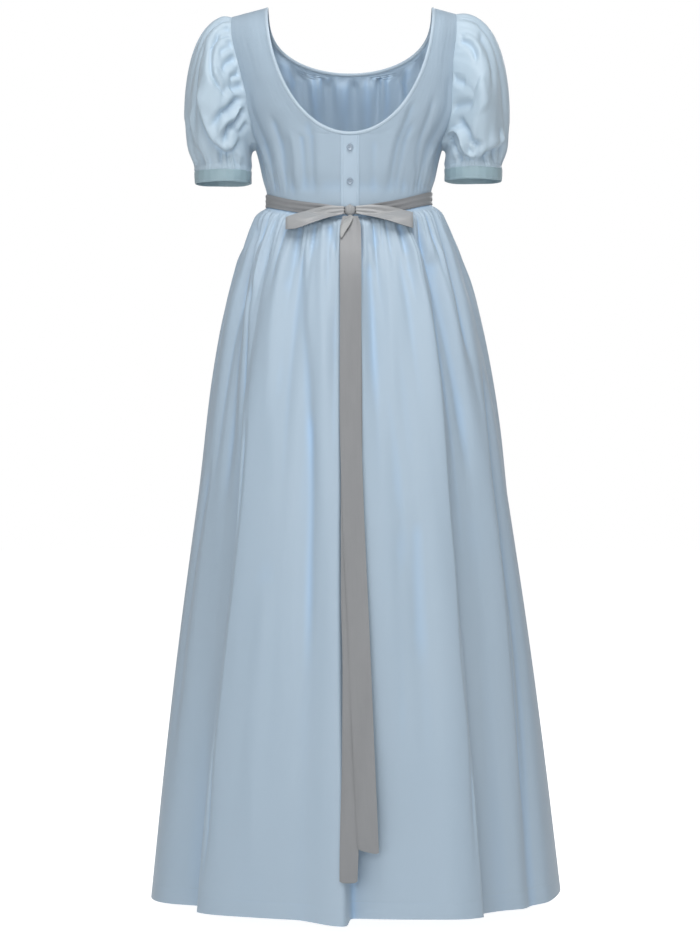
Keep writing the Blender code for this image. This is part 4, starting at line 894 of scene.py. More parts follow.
class Look:
    """A material and the nodes that make up its surface."""

    def __init__(self, name):
        self.material = bpy.data.materials.new(name)
        self.material.use_nodes = True
        self.tree = self.material.node_tree
        self.shader = self.tree.nodes["Principled BSDF"]

    def put(self, socket, value):
        """Link a value to a socket, or set it there."""
        if isinstance(value, Value):
            self.tree.links.new(value.socket, socket)
        else:
            socket.default_value = value

    def node(self, kind, settings, inputs, output=0):
        """One output of a new node with these settings and these inputs."""
        made = self.tree.nodes.new(kind)
        for name, value in settings.items():
            setattr(made, name, value)
        for name, value in inputs.items():
            self.put(made.inputs[name], value)
        return Value(self, made.outputs[output])

    def sum(self, operation, first, second):
        """A sum of two values."""
        return self.node("ShaderNodeMath", {"operation": operation}, {0: first, 1: second})

    def wave(self, value):
        """The sine of a value."""
        return self.node("ShaderNodeMath", {"operation": "SINE"}, {0: value})

    def flat_place(self):
        """The place on the flat cloth: metres across it and metres down it."""
        place = self.node("ShaderNodeUVMap", {"uv_map": "flat_cloth"}, {})
        across = self.node("ShaderNodeSeparateXYZ", {}, {0: place}, 0)
        down = self.node("ShaderNodeSeparateXYZ", {}, {0: place}, 1)
        return across, down

    def noise(self, x, y, detail=2.0):
        """Smooth noise between 0 and 1 at a place whose unit is one blotch."""
        place = self.node("ShaderNodeCombineXYZ", {}, {0: x, 1: y, 2: 0.37})
        return self.node("ShaderNodeTexNoise", {}, {"Vector": place, "Scale": 1.0, "Detail": detail})

    def blend(self, share, first, second):
        """A colour between two others."""
        inputs = {0: share}
        for socket, colour in ((6, first), (7, second)):
            inputs[socket] = colour if isinstance(colour, Value) else (*colour, 1.0)
        return self.node("ShaderNodeMix", {"data_type": "RGBA"}, inputs, 2)

    def surface(self, values):
        """Set or link inputs of the surface by their names."""
        for name, value in values.items():
            self.put(self.shader.inputs[name], value)

    def relief(self, height, distance, strength=1.0):
        """Small relief that only shading shows."""
        inputs = {"Height": height, "Distance": distance, "Strength": strength}
        self.put(self.shader.inputs["Normal"], self.node("ShaderNodeBump", {}, inputs))


def sateen(name, light, shade, fold_shade_share):
    """Smooth cotton sateen: a soft sheen, fine threads, a few slack wrinkles and a painted fold shade that
    tints the hollows bluer.
    """
    look = Look(name)
    # a noise's numbers are its blotches to the metre, across the cloth and down it
    across, down = look.flat_place()
    turn = 2 * math.pi / THREAD
    threads = look.wave(across * turn + down * (turn * 0.2)) * look.wave(down * turn)
    streaks = look.noise(across * 900.0, down * 45.0)
    slack = look.noise(across * 34.0, down * 15.0, 3.0)
    drape = look.noise(across * 17.0 + 1.7, down * 1.9)
    blotch = look.noise(across * 7.0 + 3.1, down * 4.0)
    cloth = look.blend(blotch * 0.7 + streaks * 0.3, shade, light)
    # painted fold shade: the hollows' base colour is tinted bluer, standing in for light that goes to and
    # fro in a fold and takes up more of the cloth's blue
    fold_shade_mask = look.node("ShaderNodeAttribute", {"attribute_name": "fold_shade_mask"}, {}, 2)
    painted_fold_shade = tuple(share * value for share, value in zip(PAINTED_FOLD_SHADE_TINT, light))
    look.surface({
        "Base Color": look.blend(fold_shade_mask * fold_shade_share, cloth, painted_fold_shade),
        "Roughness": 0.46 + streaks * 0.10,
        "Sheen Weight": 0.16,
        "Sheen Roughness": 0.40,
        "Specular IOR Level": 0.50,
    })
    look.relief(threads * 0.05 + streaks * 0.10 + slack * 1.6 + drape * 5.0, 0.0005)
    return look.material


def satin_ribbon(name, light, shade, roughness):
    """Satin ribbon, glossier than the gown, with fine ribs along its length."""
    look = Look(name)
    across, down = look.flat_place()
    ribs = look.wave(across * (2 * math.pi / RIB))
    streaks = look.noise(across * 1400.0, down * 22.0)
    slack = look.noise(across * 90.0, down * 26.0)
    look.surface({
        "Base Color": look.blend(streaks * 0.5 + slack * 0.5, shade, light),
        "Roughness": roughness + streaks * 0.10,
        "Anisotropic": 0.35,
        "Sheen Weight": 0.15,
    })
    look.relief(ribs * 0.05 + streaks * 0.12 + slack * 0.8, 0.0004)
    return look.material


def button_shell(name):
    """Polished button, clouded like dyed shell."""
    look = Look(name)
    across, down = look.flat_place()
    cloud = look.noise(across * 420.0, down * 420.0, 3.0)
    look.surface({
        "Base Color": look.blend(cloud, SHELL_BLUE, tuple(1.25 * value for value in SHELL_BLUE)),
        "Roughness": 0.24,
        "Coat Weight": 0.4,
        "Coat Roughness": 0.12,
    })
    return look.material


def sewing_thread(name):
    """Matt sewing thread."""
    look = Look(name)
    look.surface({"Base Color": (*THREAD_BLUE, 1.0), "Roughness": 0.65, "Sheen Weight": 0.2})
    return look.material


# ---- the bodice

def waist(turn):
    """Height of the waist seam."""
    drop = np.where(np.cos(turn) > 0, WAIST_BACK - WAIST_SIDE, WAIST_FRONT - WAIST_SIDE)
    return WAIST_SIDE - WAIST_TILT * np.sin(turn) + drop * np.cos(turn) ** 2


def torso_half_width(height, turn):
    """Half width of the bodice's form, a little wider at the wearer's left shoulder."""
    lean = SHOULDER_LEAN * ease(height, CHEST, SHOULDER_LEAN_END)
    lean = lean + WAIST_LEAN * ease(height, CHEST, WAIST_LEAN_END)
    return curve(TORSO, "half_width", height) * (1 + lean * np.sign(np.sin(turn)))


def torso_depth(height, turn):
    """Depth of the form behind or in front of the side seams, rounding over at the shoulder."""
    rounding = np.sqrt(1 - (1 - np.clip(-height / SHOULDER_ROUND, 0, 1)) ** 2)
    return form_depth(TORSO, height, turn) * rounding


def torso_form(turn, root):
    """The bodice's form without gathers.  root is the square root of the depth below the shoulder."""
    height = -root ** 2
    x = torso_half_width(height, turn) * np.sin(turn)
    y = torso_depth(height, turn) * np.cos(turn)
    slope = SHOULDER_SLOPE * (NECK_HALF - np.abs(x)) * np.exp(height / SLOPE_FADE)
    return stack(x, y, height + slope)


def gathers(name, angle, distance):
    """Height of a row of gathers at an angle round the gown and a distance from its seam."""
    count, height, begins, ends, sway = GATHERS[name]
    wave = np.cos(count * angle + sway * np.sin(3 * angle + sway))
    return height * wave * ease(distance, *begins) * (1 - ease(distance, *ends))


def neck_edge(swing, side, front, width):
    """Turn and height of the neck edge, or of a line a width outside it.

    swing is 0 at the centre and 90 degrees at the shoulder; the turn is counted from the centre.
    """
    drop = NECK_FRONT_DROP if front else NECK_BACK_DROP
    square = NECK_FRONT_SQUARE if front else 1.0
    height = -(drop + width) * np.clip(np.cos(swing), 0, 1) ** square
    reach = (NECK_HALF + width) * np.sin(swing)
    wide = torso_half_width(height, side * QUARTER)
    return np.arcsin(np.clip(reach / wide, 0, 1)), height


def armhole_edge(round_angle):
    """Distance behind the ridge and height of a point of the armhole edge."""
    reach = np.where(np.sin(round_angle) > 0, ARMHOLE_BACK, ARMHOLE_FRONT)
    height = -ARMHOLE_DROP * (1 - np.cos(round_angle)) / 2
    return reach * np.sin(round_angle), height


def armhole_turn(round_angle):
    """Turn, on the wearer's left, and height root of a point of the armhole edge."""
    corner = np.where(np.asarray(round_angle) < 0, -ARMHOLE_TOP, ARMHOLE_TOP)
    behind, height = armhole_edge(np.where(np.abs(round_angle) < ARMHOLE_TOP, corner, round_angle))
    root = np.sqrt(np.clip(-height, 1e-10, None))
    depth = torso_depth(-root ** 2, np.where(behind > 0, 0.0, math.pi))
    return np.arccos(np.clip(behind / depth, -1, 1)), root


def height_root(height):
    """The square root of a depth below the shoulder, never quite nothing."""
    return np.sqrt(np.clip(-height, 1e-8, None))


def turn_round(turn, side, front):
    """The turn round the body of one that is counted from the centre of the back or front."""
    return side * (math.pi - turn if front else turn)


def bodice_radius(height):
    """About how far the bodice's cloth is from its upright axis."""
    return BODICE_REACH + 0 * height


def bodice_height(turn, root):
    """Height of the gathers and creases of the bodice above its form."""
    height = -root ** 2
    above = height - waist(turn)
    front = ease(-np.cos(turn), *FRONT_FADE)
    side = ease(np.abs(np.sin(turn)), *SIDE_FADE) * (1 - front)
    reach = np.clip(np.sin(turn) * torso_half_width(height, turn) / NECK_HALF, -1, 1)
    neck = -NECK_FRONT_DROP * (1 - reach ** 2) ** (NECK_FRONT_SQUARE / 2) - height
    broad = gathers("front_waist", turn, above) + gathers("front_neck", turn, neck)
    fine = fine_gathers("front_waist", turn, above) + fine_gathers("front_neck", turn, neck)
    sides = gathers("side_waist", turn, above) + fine_gathers("side_waist", turn, above)
    clear = ease(above, *CLEAR_OF_SASH) * np.where(front > 0, ease(neck, *CLEAR_OF_NECK), 1.0)
    lines = creases(BODICE_CREASES, turn, height, bodice_radius)
    return front * (broad + fine) + side * sides + lines * clear


def torso(turn, root, lift=0.0):
    """Outer face of the bodice, moved out by lift."""
    out = normal_of(torso_form, turn, root)
    return torso_form(turn, root) + out * (bodice_height(turn, root) + lift)[..., None]


def bodice_row(level, side, front):
    """A row of points across a bodice half, from the side seam or armhole to the centre or neck edge.

    level is 0 at the waist seam and 1 at the shoulder seam.
    """
    cut = FRONT_CUT if front else BACK_CUT

    # the outer end: up the side seam, then round the armhole
    climb = max((level - cut["underarm"]) / (1 - cut["underarm"]), 0.0)
    seam = min(level / cut["underarm"], 1.0)
    outer_turn = QUARTER
    outer_top = -ARMHOLE_DROP
    if climb > 0:
        round_angle = max(math.pi * (1 - climb), ARMHOLE_TOP)
        outer_turn, outer_root = armhole_turn(np.array(-round_angle if front else round_angle))
        outer_turn = math.pi - outer_turn if front else outer_turn
        outer_top = -outer_root ** 2

    # the inner end: up the centre, then round the neck edge
    climb = max((level - cut["neck"]) / (1 - cut["neck"]), 0.0)
    rise = min(level / cut["neck"], 1.0)
    inner_turn, inner_top = neck_edge(QUARTER * math.sin(QUARTER * climb), side, front, 0.0)

    share = np.linspace(0, 1, BODICE_COLUMNS + 1)
    turn = np.clip(outer_turn + (inner_turn - outer_turn) * share, LEAST_TURN, None)
    turn = turn_round(turn, side, front)
    bottom = waist(turn)
    outer_height = bottom + (outer_top - bottom) * seam
    inner_height = bottom + (inner_top - bottom) * rise
    height = outer_height + (inner_height - outer_height) * share
    return torso(turn, height_root(height))


def bodice_levels(front):
    """Levels of the fine rows of a bodice piece, the ones where its cut changes among them."""
    cut = FRONT_CUT if front else BACK_CUT
    turns = sorted({0.0, cut["underarm"], cut["neck"], 1.0})
    levels = [0.0]
    for start, end in zip(turns, turns[1:]):
        steps = max(int(round(BODICE_LEVELS * (end - start))), 2)
        levels += list(np.linspace(start, end, steps + 1)[1:])
    return np.array(levels)


def bodice_half(side, front):
    """Points of one half of the bodice's back or front, as a grid, and the level of each row."""
    shift = np.array([0.0 if front else side * GAP / 2, 0.0, 0.0])
    levels = bodice_levels(front)
    rows = [bodice_row(level, side, front) for level in levels]
    return np.array(rows) + shift, levels


def flat_places(line):
    """How far along a line of points, in metres, each of them lies."""
    steps = np.linalg.norm(np.diff(line, axis=0), axis=1)
    return np.concatenate([[0.0], np.cumsum(steps)])


def flat_down(points):
    """Places down the cloth of a grid's rows, as far as they lie along its middle column."""
    return flat_places(points[:, points.shape[1] // 2])


def bodice_back(name, side, finishes):
    """One half of the bodice's back."""
    points, _ = bodice_half(side, False)
    across = flat_places(points[0])
    return grid_sheet(name, points, flat_down(points), across, FINE_CLOTH, finishes)


def bodice_front(name, finishes):
    """The bodice's front: two halves joined down the centre, up to the neck edge."""
    left, levels = bodice_half(1, True)
    right, _ = bodice_half(-1, True)
    rows, columns = left.shape[:2]
    quads = grid_quads(rows, columns)
    # the right half uses the left half's corners on the centre line
    number = np.arange(rows * columns).reshape(rows, columns)
    twin = number + rows * columns
    joined = levels <= FRONT_CUT["neck"] + 1e-9
    twin[joined, -1] = number[joined, -1]
    all_quads = np.concatenate([quads, twin.ravel()[quads][:, ::-1]])
    across = flat_places(left[0])
    marks = grid_marks(flat_down(left), across)
    other = grid_marks(flat_down(right), 2 * across[-1] - flat_places(right[0]))[:, ::-1]
    all_marks = np.concatenate([marks, other])
    points = np.concatenate([left.reshape(-1, 3), right.reshape(-1, 3)])
    used = np.unique(all_quads)
    place = np.zeros(len(points), dtype=int)
    place[used] = np.arange(len(used))
    return thick_sheet(name, points[used], place[all_quads], all_marks, FINE_CLOTH, finishes)


def neck_ring(width, lift):
    """Points along the whole neck opening, a width outside its edge and a lift off the cloth."""
    ring = []
    for side, front, order in [(1, False, 1), (1, True, -1), (-1, True, 1), (-1, False, -1)]:
        swing = np.linspace(0, QUARTER, NECK_STEPS + 1)
        turn, height = neck_edge(swing, side, front, width)
        turn = turn_round(np.clip(turn, LEAST_TURN, None), side, front)
        ring.append(torso(turn, height_root(height), lift)[::order][:-1])
    return np.concatenate(ring)


def neck_binding(name, finish):
    """The folded strip that the whole neck edge is bound with."""
    rings = [neck_ring(corner["width"], corner["lift"]) for corner in BINDING_SECTION]
    return hoop(name, np.stack(rings, axis=1), BINDING_LENGTH, BINDING_CUT, finish)


def placket(name, finish):
    """The lapped strip down the centre back, stitched along its edges."""
    reach = np.linspace(-PLACKET_WIDTH / 2, PLACKET_WIDTH / 2, PLACKET_COLUMNS)
    fall = np.sqrt(1 - (reach / NECK_HALF) ** 2)
    turn = np.arcsin(reach / curve(TORSO, "half_width", -NECK_BACK_DROP))
    top = -(NECK_BACK_DROP + BINDING_WIDTH) * fall - 2 * GAP - 0.0004
    foot = waist(turn) + sash_half(turn) + 3 * GAP
    share = np.linspace(0, 1, PLACKET_ROWS)[:, None]
    height = top + (foot - top) * share
    turns = np.arcsin(reach / curve(TORSO, "half_width", height))
    edge = PLACKET_WIDTH / 2 - np.abs(reach)
    # a stitched line lies a little way in from each edge, and the edge itself is rounded
    lift = PLACKET_LIFT - STITCH_DIP * np.exp(-((edge - STITCH_INSET) / STITCH_DIP_REACH) ** 2)
    lift = lift - EDGE_FALL * np.exp(-(edge / EDGE_FALL_REACH) ** 2)
    slack = 0.0003 * np.sin(61 * height + 40 * reach) + 0.0002 * np.sin(150 * height)
    points = torso(turns, np.sqrt(-height), lift + slack)
    down = share.ravel() * PLACKET_LENGTH
    return grid_sheet(name, points, down, reach, FINE_BAND, [finish])


def placket_stitches(name, finish):
    """Rows of small stitches along both edges of the placket."""
    starts = []
    ends = []
    for side in (-1, 1):
        reach = side * (PLACKET_WIDTH / 2 - STITCH_INSET)
        for height in np.arange(*PLACKET_STITCHES):
            both = np.array([height, height - STITCH_LENGTH])
            turn = np.arcsin(reach / curve(TORSO, "half_width", both))
            start, end = torso(turn, np.sqrt(-both), STITCH_LIFT)
            starts.append(start)
            ends.append(end)
    return strands(name, starts, ends, PLACKET_THREAD, finish)


def button_frame(height):
    """Seat of a button on the placket, and its directions across, up and out."""
    place = np.array([1e-6])
    root = np.array([math.sqrt(-height)])
    seat = torso(place, root, 0.0019)[0]
    out = normal_of(torso_form, place, root)[0]
    across = np.array([1.0, 0.0, 0.0])
    return seat, across, np.cross(out, across), out


# A button's face and its underside: shares of its radius and of its height.
BUTTON_PROFILE = table("at rise", [
    (0.00, 0.62), (0.40, 0.62), (0.60, 0.70), (0.72, 0.90), (0.82, 1.00), (0.93, 0.90), (1.00, 0.60),
])
BUTTON_UNDER = [(1.0, 0.30), (0.86, 0.05), (0.45, 0.00), (0.03, 0.00)]
BUTTON_RINGS = 30
BUTTON_COLUMNS = 72
BUTTON_HOLE = 0.00048      # radius of a hole
BUTTON_HOLE_DEPTH = 0.0010
BUTTON_HOLE_REACH = 0.00085   # the holes' middles lie this far from the button's, both ways
THREAD_APART = 0.00014     # half of the distance between two threads in a pair of holes


def button(name, height, finish):
    """A round button with a raised rim, a dished face and four holes."""
    seat, across, up, out = button_frame(height)
    reach = np.linspace(0.03, 1.0, BUTTON_RINGS)
    angle = round_angles(BUTTON_COLUMNS)
    r, a = grid(reach, angle)
    x = r * BUTTON_RADIUS * np.cos(a)
    y = r * BUTTON_RADIUS * np.sin(a)
    rise = curve(BUTTON_PROFILE, "rise", r) * BUTTON_HEIGHT
    for hole_x in (-BUTTON_HOLE_REACH, BUTTON_HOLE_REACH):
        for hole_y in (-BUTTON_HOLE_REACH, BUTTON_HOLE_REACH):
            away = np.hypot(x - hole_x, y - hole_y)
            rise = rise - BUTTON_HOLE_DEPTH * (1 - ease(away, 0.7 * BUTTON_HOLE, 1.25 * BUTTON_HOLE))
    face = seat + x[..., None] * across + y[..., None] * up + rise[..., None] * out
    rows = [
        seat + share * BUTTON_RADIUS * (np.cos(angle)[:, None] * across + np.sin(angle)[:, None] * up)
        + low * BUTTON_HEIGHT * out
        for share, low in BUTTON_UNDER
    ]
    points = np.concatenate([face, np.array(rows)])
    rings, columns = points.shape[:2]
    points = points.reshape(-1, 3)
    middles = [points[:columns].mean(axis=0), points[-columns:].mean(axis=0)]
    quads = np.concatenate([
        grid_quads(rings, columns, closed=True),
        fan(columns, 0, len(points))[:, ::-1],
        fan(columns, (rings - 1) * columns, len(points) + 1),
    ])
    points = np.concatenate([points, middles])
    marks = (points[quads] - seat) @ np.stack([across, up], axis=1)
    quads, marks, _ = facing(points, quads, marks, seat)
    return mesh_piece(name, points, quads, marks, [finish], sharp=60)


def button_thread(name, height, finish):
    """Two pairs of threads through the button's holes."""
    seat, across, up, out = button_frame(height)
    starts = []
    ends = []
    for x in (-BUTTON_HOLE_REACH, BUTTON_HOLE_REACH):
        for shift in (-THREAD_APART, THREAD_APART):
            for way, made in ((-1, starts), (1, ends)):
                place = seat + across * (x + shift) + up * way * (BUTTON_HOLE_REACH * 0.95)
                made.append(place + out * (0.62 * BUTTON_HEIGHT + 0.00012))
    return strands(name, starts, ends, BUTTON_THREAD, finish)


# ---- the sleeves

SLEEVE_LENGTH = 0.26       # along the cloth from the armhole to the band, at the top
SLEEVE_ALLOWANCE = 0.003   # of its cloth beyond each seam
SLEEVE_END_RADIUS = 0.060  # about half of its width at both ends
SLEEVE_SWELL = 0.030       # and how much more that is half way down
SLEEVE_INSIDE = np.array([0.185, 0.0, -0.16])   # a point inside the left sleeve
UNDER_CLOTH = FINE_CLOTH + 0.0005
CAP_FADE = (-0.60, 0.00)   # spans over which the cap's gathers begin and the flat underside does,
UNDER_FADE = (0.55, 0.95)  # by the cosine of the angle round the sleeve
UNDER_FLAT = 0.8           # share by which gathers are lower beneath
BAND_STRAY = 0.12          # how unevenly the gathers at the band begin
SLEEVE_TUCK = 0.0045       # how far the cloth draws in just above the band
TUCK_START = (0.78, 0.92)
TUCK_END = (0.94, 1.0)
TUCK_LOSS = 0.8            # share of the tuck that is lost again at the band


def blend_round(puff, name, round_angle):
    """A column of a puff table read at any angle round the sleeve."""
    top, side, under = column(puff, name)
    swing = np.cos(np.asarray(round_angle))[..., None]
    return side + (top - under) / 2 * swing + ((top + under) / 2 - side) * swing ** 2


def armhole_corners(side):
    """Corners of the armhole edge in the solids, and their angles round the sleeve."""
    angles = []
    for cut, way in ((BACK_CUT, 1), (FRONT_CUT, -1)):
        for level in cut["armhole"]:
            climb = (level - cut["underarm"]) / (1 - cut["underarm"])
            angles.append(way * max(math.pi * (1 - climb), ARMHOLE_TOP))
    angles = np.array(sorted(set(angles)))
    turn, root = armhole_turn(angles)
    return angles, torso_form(side * np.clip(turn, LEAST_TURN, None), root)


def armhole_point(round_angle, side):
    """A point of the armhole edge, the direction in the cloth that leads off it, and the one outwards."""
    angles, corners = armhole_corners(side)
    around = wrap(round_angle)
    start = stack(*[np.interp(around, angles, corners[:, k]) for k in range(3)])

    def edge(angle):
        turn, root = armhole_turn(angle)
        return torso_form(side * turn, root)

    turn, root = armhole_turn(round_angle)
    out = normal_of(torso_form, side * turn, np.clip(root, 1e-4, None))
    along = edge(round_angle + 1e-3) - edge(round_angle - 1e-3)
    return start, unit(np.cross(out, along)) * -side, out


def sleeve_form(round_angle, down, which):
    """The sleeve without gathers: a smooth puff from the armhole (down 0) to the band (down 1)."""
    cut = SLEEVES[which]
    side = cut["side"]
    start, off, _ = armhole_point(round_angle, side)
    start = start + off * SEAM
    band_x = side * (cut["middle"] + cut["half_width"] * np.cos(round_angle))
    band_y = CUFF_HALF_DEPTH * np.sin(round_angle)
    end = stack(band_x, band_y, cut["band_top"] + GAP)
    ways = stack(side, np.sin(round_angle), 1.0)
    first = start + blend_round(PUFF[which], "start", round_angle) * ways
    second = end + blend_round(PUFF[which], "end", round_angle) * ways
    t = np.asarray(down)[..., None]
    early = start * (1 - t) ** 3 + first * 3 * t * (1 - t) ** 2
    return early + second * 3 * t * t * (1 - t) + end * t ** 3


def sleeve_radius(down):
    """About how wide a sleeve is, half way across, on the way down it."""
    return SLEEVE_END_RADIUS + SLEEVE_SWELL * np.sin(math.pi * np.clip(down, 0, 1))


def sleeve_height(round_angle, down, which):
    """Height of the gathers and creases above the sleeve's form."""
    full = SLEEVE_FULLNESS[which]
    uneven = unevenness(round_angle + full["shift"])
    cap_reach = ease(np.cos(round_angle), *CAP_FADE)
    under = ease(-np.cos(round_angle), *UNDER_FADE)
    cap = uneven_gathers(GATHERS["cap"], round_angle, down, uneven, *CAP_UNEVEN)
    count, wave_height, begins, ends, sway = GATHERS["band"]
    phase = count * round_angle + sway * np.sin(3 * round_angle + sway)
    start = begins[0] + BAND_STRAY * (0.5 - uneven)
    band = wave_height * rounded_wave(phase) * ease(down, start, begins[1])
    band = band * (1 - ease(down, *ends))
    cap = (cap + fine_gathers("cap", round_angle, down)) * cap_reach * full["cap"]
    band = (band + fine_gathers("band", round_angle, down)) * full["band"]
    lines = creases(SLEEVE_CREASES[which], round_angle, down, sleeve_radius, SLEEVE_LENGTH)
    tuck = -SLEEVE_TUCK * ease(down, *TUCK_START) * (1 - TUCK_LOSS * ease(down, *TUCK_END))
    height = cap + band + tuck + gathers("billow", round_angle, down)
    return height * (1 - UNDER_FLAT * under) + lines


def sleeve(name, which, finish):
    """A puffed sleeve, gathered into the armhole and into its band."""
    side = SLEEVES[which]["side"]
    round_angle = round_angles(SLEEVE_COLUMNS) + SLEEVE_SEAM_TURN
    share = np.linspace(0, 1, SLEEVE_STEPS + 1)
    down = 0.45 * share + 0.55 * ease(share, 0, 1)
    level, angle = grid(down, round_angle)

    def form(around, depth):
        return sleeve_form(around, depth, which)

    away = normal_of(form, angle, level) * -side
    points = form(angle, level) + away * sleeve_height(angle, level, which)[..., None]
    # the seam allowances, one under the bodice's cloth and one inside the band
    edge, off, out = armhole_point(round_angle, side)
    under = edge - out * UNDER_CLOTH
    in_band = points[-1] - np.array([0.0, 0.0, GAP + SLEEVE_ALLOWANCE])
    points = np.concatenate([[under - off * SLEEVE_ALLOWANCE, under], points, [in_band]])
    ends = SLEEVE_LENGTH + SLEEVE_ALLOWANCE
    metres = np.concatenate([[-SLEEVE_ALLOWANCE, -UNDER_CLOTH], down * SLEEVE_LENGTH, [ends]])
    across = np.linspace(0, SLEEVE_ROUND, SLEEVE_COLUMNS + 1)
    inside = SLEEVE_INSIDE * np.array([side, 1.0, 1.0])
    return grid_sheet(name, points, metres, across, FINE_CLOTH, [finish], inside, closed=True)


# A band's waves, outwards and downwards.
CUFF_SLACK = 0.0003
CUFF_FINE_SLACK = 0.0002
CUFF_SAG = 0.0004

# Section of a sleeve band: how far inside its outer face and how far below its top edge.
CUFF_SECTION = table("inset drop", [
    (0.0003, 0.0000), (-0.0002, 0.0008), (-0.0003, 0.0030), (-0.0002, 0.0095), (-0.0001, 0.0148),
    (0.0002, 0.0158), (-0.0001, 0.0168), (0.0001, 0.0183), (0.0007, 0.0190), (0.0015, 0.0190),
    (0.0020, 0.0180), (0.0020, 0.0095), (0.0020, 0.0010), (0.0012, 0.0000),
])


def cuff_point(cut, round_angle, inset, drop):
    """A point of a sleeve band, with the slight waviness of sewn cloth."""
    slack = CUFF_SLACK * np.sin(9 * round_angle + 200 * drop) + CUFF_FINE_SLACK * np.sin(23 * round_angle)
    x = cut["side"] * (cut["middle"] + (cut["half_width"] - inset + slack) * np.cos(round_angle))
    y = (CUFF_HALF_DEPTH - inset + slack) * np.sin(round_angle)
    sag = CUFF_SAG * np.sin(4 * round_angle + 1.0)
    return stack(x, y, cut["band_top"] - drop + sag)


def cuff(name, cut, finish):
    """The plain band that a sleeve is gathered into."""
    angle = round_angles(CUFF_COLUMNS)
    rings = [cuff_point(cut, angle, corner["inset"], corner["drop"]) for corner in CUFF_SECTION]
    return hoop(name, np.stack(rings, axis=1), CUFF_ROUND, CUFF_CUT, finish)


def cuff_stitches(name, cut, finish):
    """The row of stitches near a band's lower edge."""
    step = 2 * math.pi / CUFF_STITCHES
    angle = np.arange(CUFF_STITCHES) * step
    starts = cuff_point(cut, angle, 0.0, STITCH_DROP)
    ends = cuff_point(cut, angle + STITCH_SHARE * step, 0.0, STITCH_DROP)
    return strands(name, starts, ends, CUFF_THREAD, finish)


# ---- the skirt

SKIRT_TOP_REACH = 0.13     # about how far the cloth is from its axis at the waist
SKIRT_SPREAD = 0.16        # and how much farther at the hem
LAP_TOP_REACH = 0.030      # how far a lap reaches at the waist
LAP_SPREAD = 0.035         # and how much farther at the hem
FOLD_START = (0.012, 0.060)     # share of the way down over which folds begin
CREASE_START = (0.012, 0.030)   # distances below the waist over which creases do
LAP_CLOSENESS = 1.3        # how much closer together the columns are at a lap
EVEN_STEPS = 3001          # steps by which the columns' places are found
HEM_STITCH_DIP = 0.0003    # how far the hem's stitches draw the cloth in, and how far that reaches
HEM_STITCH_REACH = 0.0011


def level_of(values, down):
    """A value that runs from the first at the waist through the second half way down to the third."""
    waist_value, middle_value, hem_value = values
    early = waist_value + (middle_value - waist_value) * ease(down, 0.0, 0.5)
    return early + (hem_value - middle_value) * ease(down, 0.5, 1.0)


def large_folds(turn, down):
    """Height of the skirt's large folds above its form."""
    around = SKIRT_TOP_REACH + SKIRT_SPREAD * down
    height = np.zeros(np.broadcast(turn, down).shape)
    for fold in FOLDS:
        middle = np.radians(level_of(fold["turns"], down))
        depth = level_of(fold["depths"], down) * ease(down, *FOLD_START)
        width = fold["widths"][0] + (fold["widths"][1] - fold["widths"][0]) * down
        arc = wrap(turn - middle) * around
        if fold["proud"] == 0:
            height += depth * np.exp(-(arc / width) ** 2)
        else:
            reach = LAP_TOP_REACH + LAP_SPREAD * down
            height += depth * np.tanh(fold["proud"] * arc / (FINE_LAP * width)) * np.exp(-(arc / reach) ** 2)
    return height


def hem_height(turn):
    """Height of the hem: lower where the centre lap hangs free, higher at the wearer's right side."""
    around = np.degrees(wrap(turn))
    lap = plateau(around, *HEM_LAP_TURNS)
    right = plateau(-around, *HEM_RIGHT_TURNS)
    return HEM - HEM_LAP_DROP * lap + HEM_RIGHT_RISE * right


def skirt_form(turn, down):
    """The skirt without folds.  down runs from the waist seam (0) to the hem (1)."""
    below = down * SKIRT_LENGTH
    lean = WAIST_LEAN * np.sign(np.sin(turn)) * (1 - ease(below, 0.0, SKIRT_LEAN_END))
    x = curve(SKIRT, "half_width", below) * (1 + lean) * np.sin(turn) - SKIRT_LEAN * down
    height = waist(turn) + (hem_height(turn) - waist(turn)) * down
    return stack(x, form_depth(SKIRT, below, turn) * np.cos(turn), height)


def skirt_out(turn, down):
    """Level outward direction of the skirt's form."""
    names = ("half_width", "back_depth", "front_depth")
    half_width, back, front = [curve(SKIRT, name, down * SKIRT_LENGTH) for name in names]
    return unit(stack(np.sin(turn) / half_width, np.cos(turn) * 2 / (back + front), np.zeros_like(turn)))


def skirt_radius(below):
    """About how far the skirt's cloth is from its upright axis."""
    return (curve(SKIRT, "half_width", below) + curve(SKIRT, "back_depth", below)) / 2


def skirt_height(turn, down):
    """Height of the skirt's folds, gathers and creases above its form."""
    below = down * SKIRT_LENGTH
    height = large_folds(turn, down)
    for name in ("skirt_fine", "skirt_broad"):
        height += uneven_gathers(GATHERS[name], turn, below, unevenness(turn), *SKIRT_UNEVEN)
    height += fine_gathers("skirt", turn, below)
    height += creases(SKIRT_CREASES, turn, below, skirt_radius) * ease(below, *CREASE_START)
    return height


def skirt_surface(turn, down):
    """Outer face of the skirt."""
    return skirt_form(turn, down) + skirt_out(turn, down) * skirt_height(turn, down)[..., None]


def skirt_rows():
    """Distances below the waist of the fine rows, closest together near the waist and the hem."""
    share = np.linspace(0, 1, SKIRT_STEPS + 1)
    upper = (SKIRT_LENGTH - HEM_TURN - 0.004) * (0.22 * share + 0.78 * share ** 2)
    above_hem = [HEM_TURN + 0.0015, HEM_TURN, HEM_TURN - 0.0015, 0.012, 0.003, 0.0008, 0.0]
    hem = SKIRT_LENGTH - np.array(above_hem)
    return np.concatenate([upper, hem])


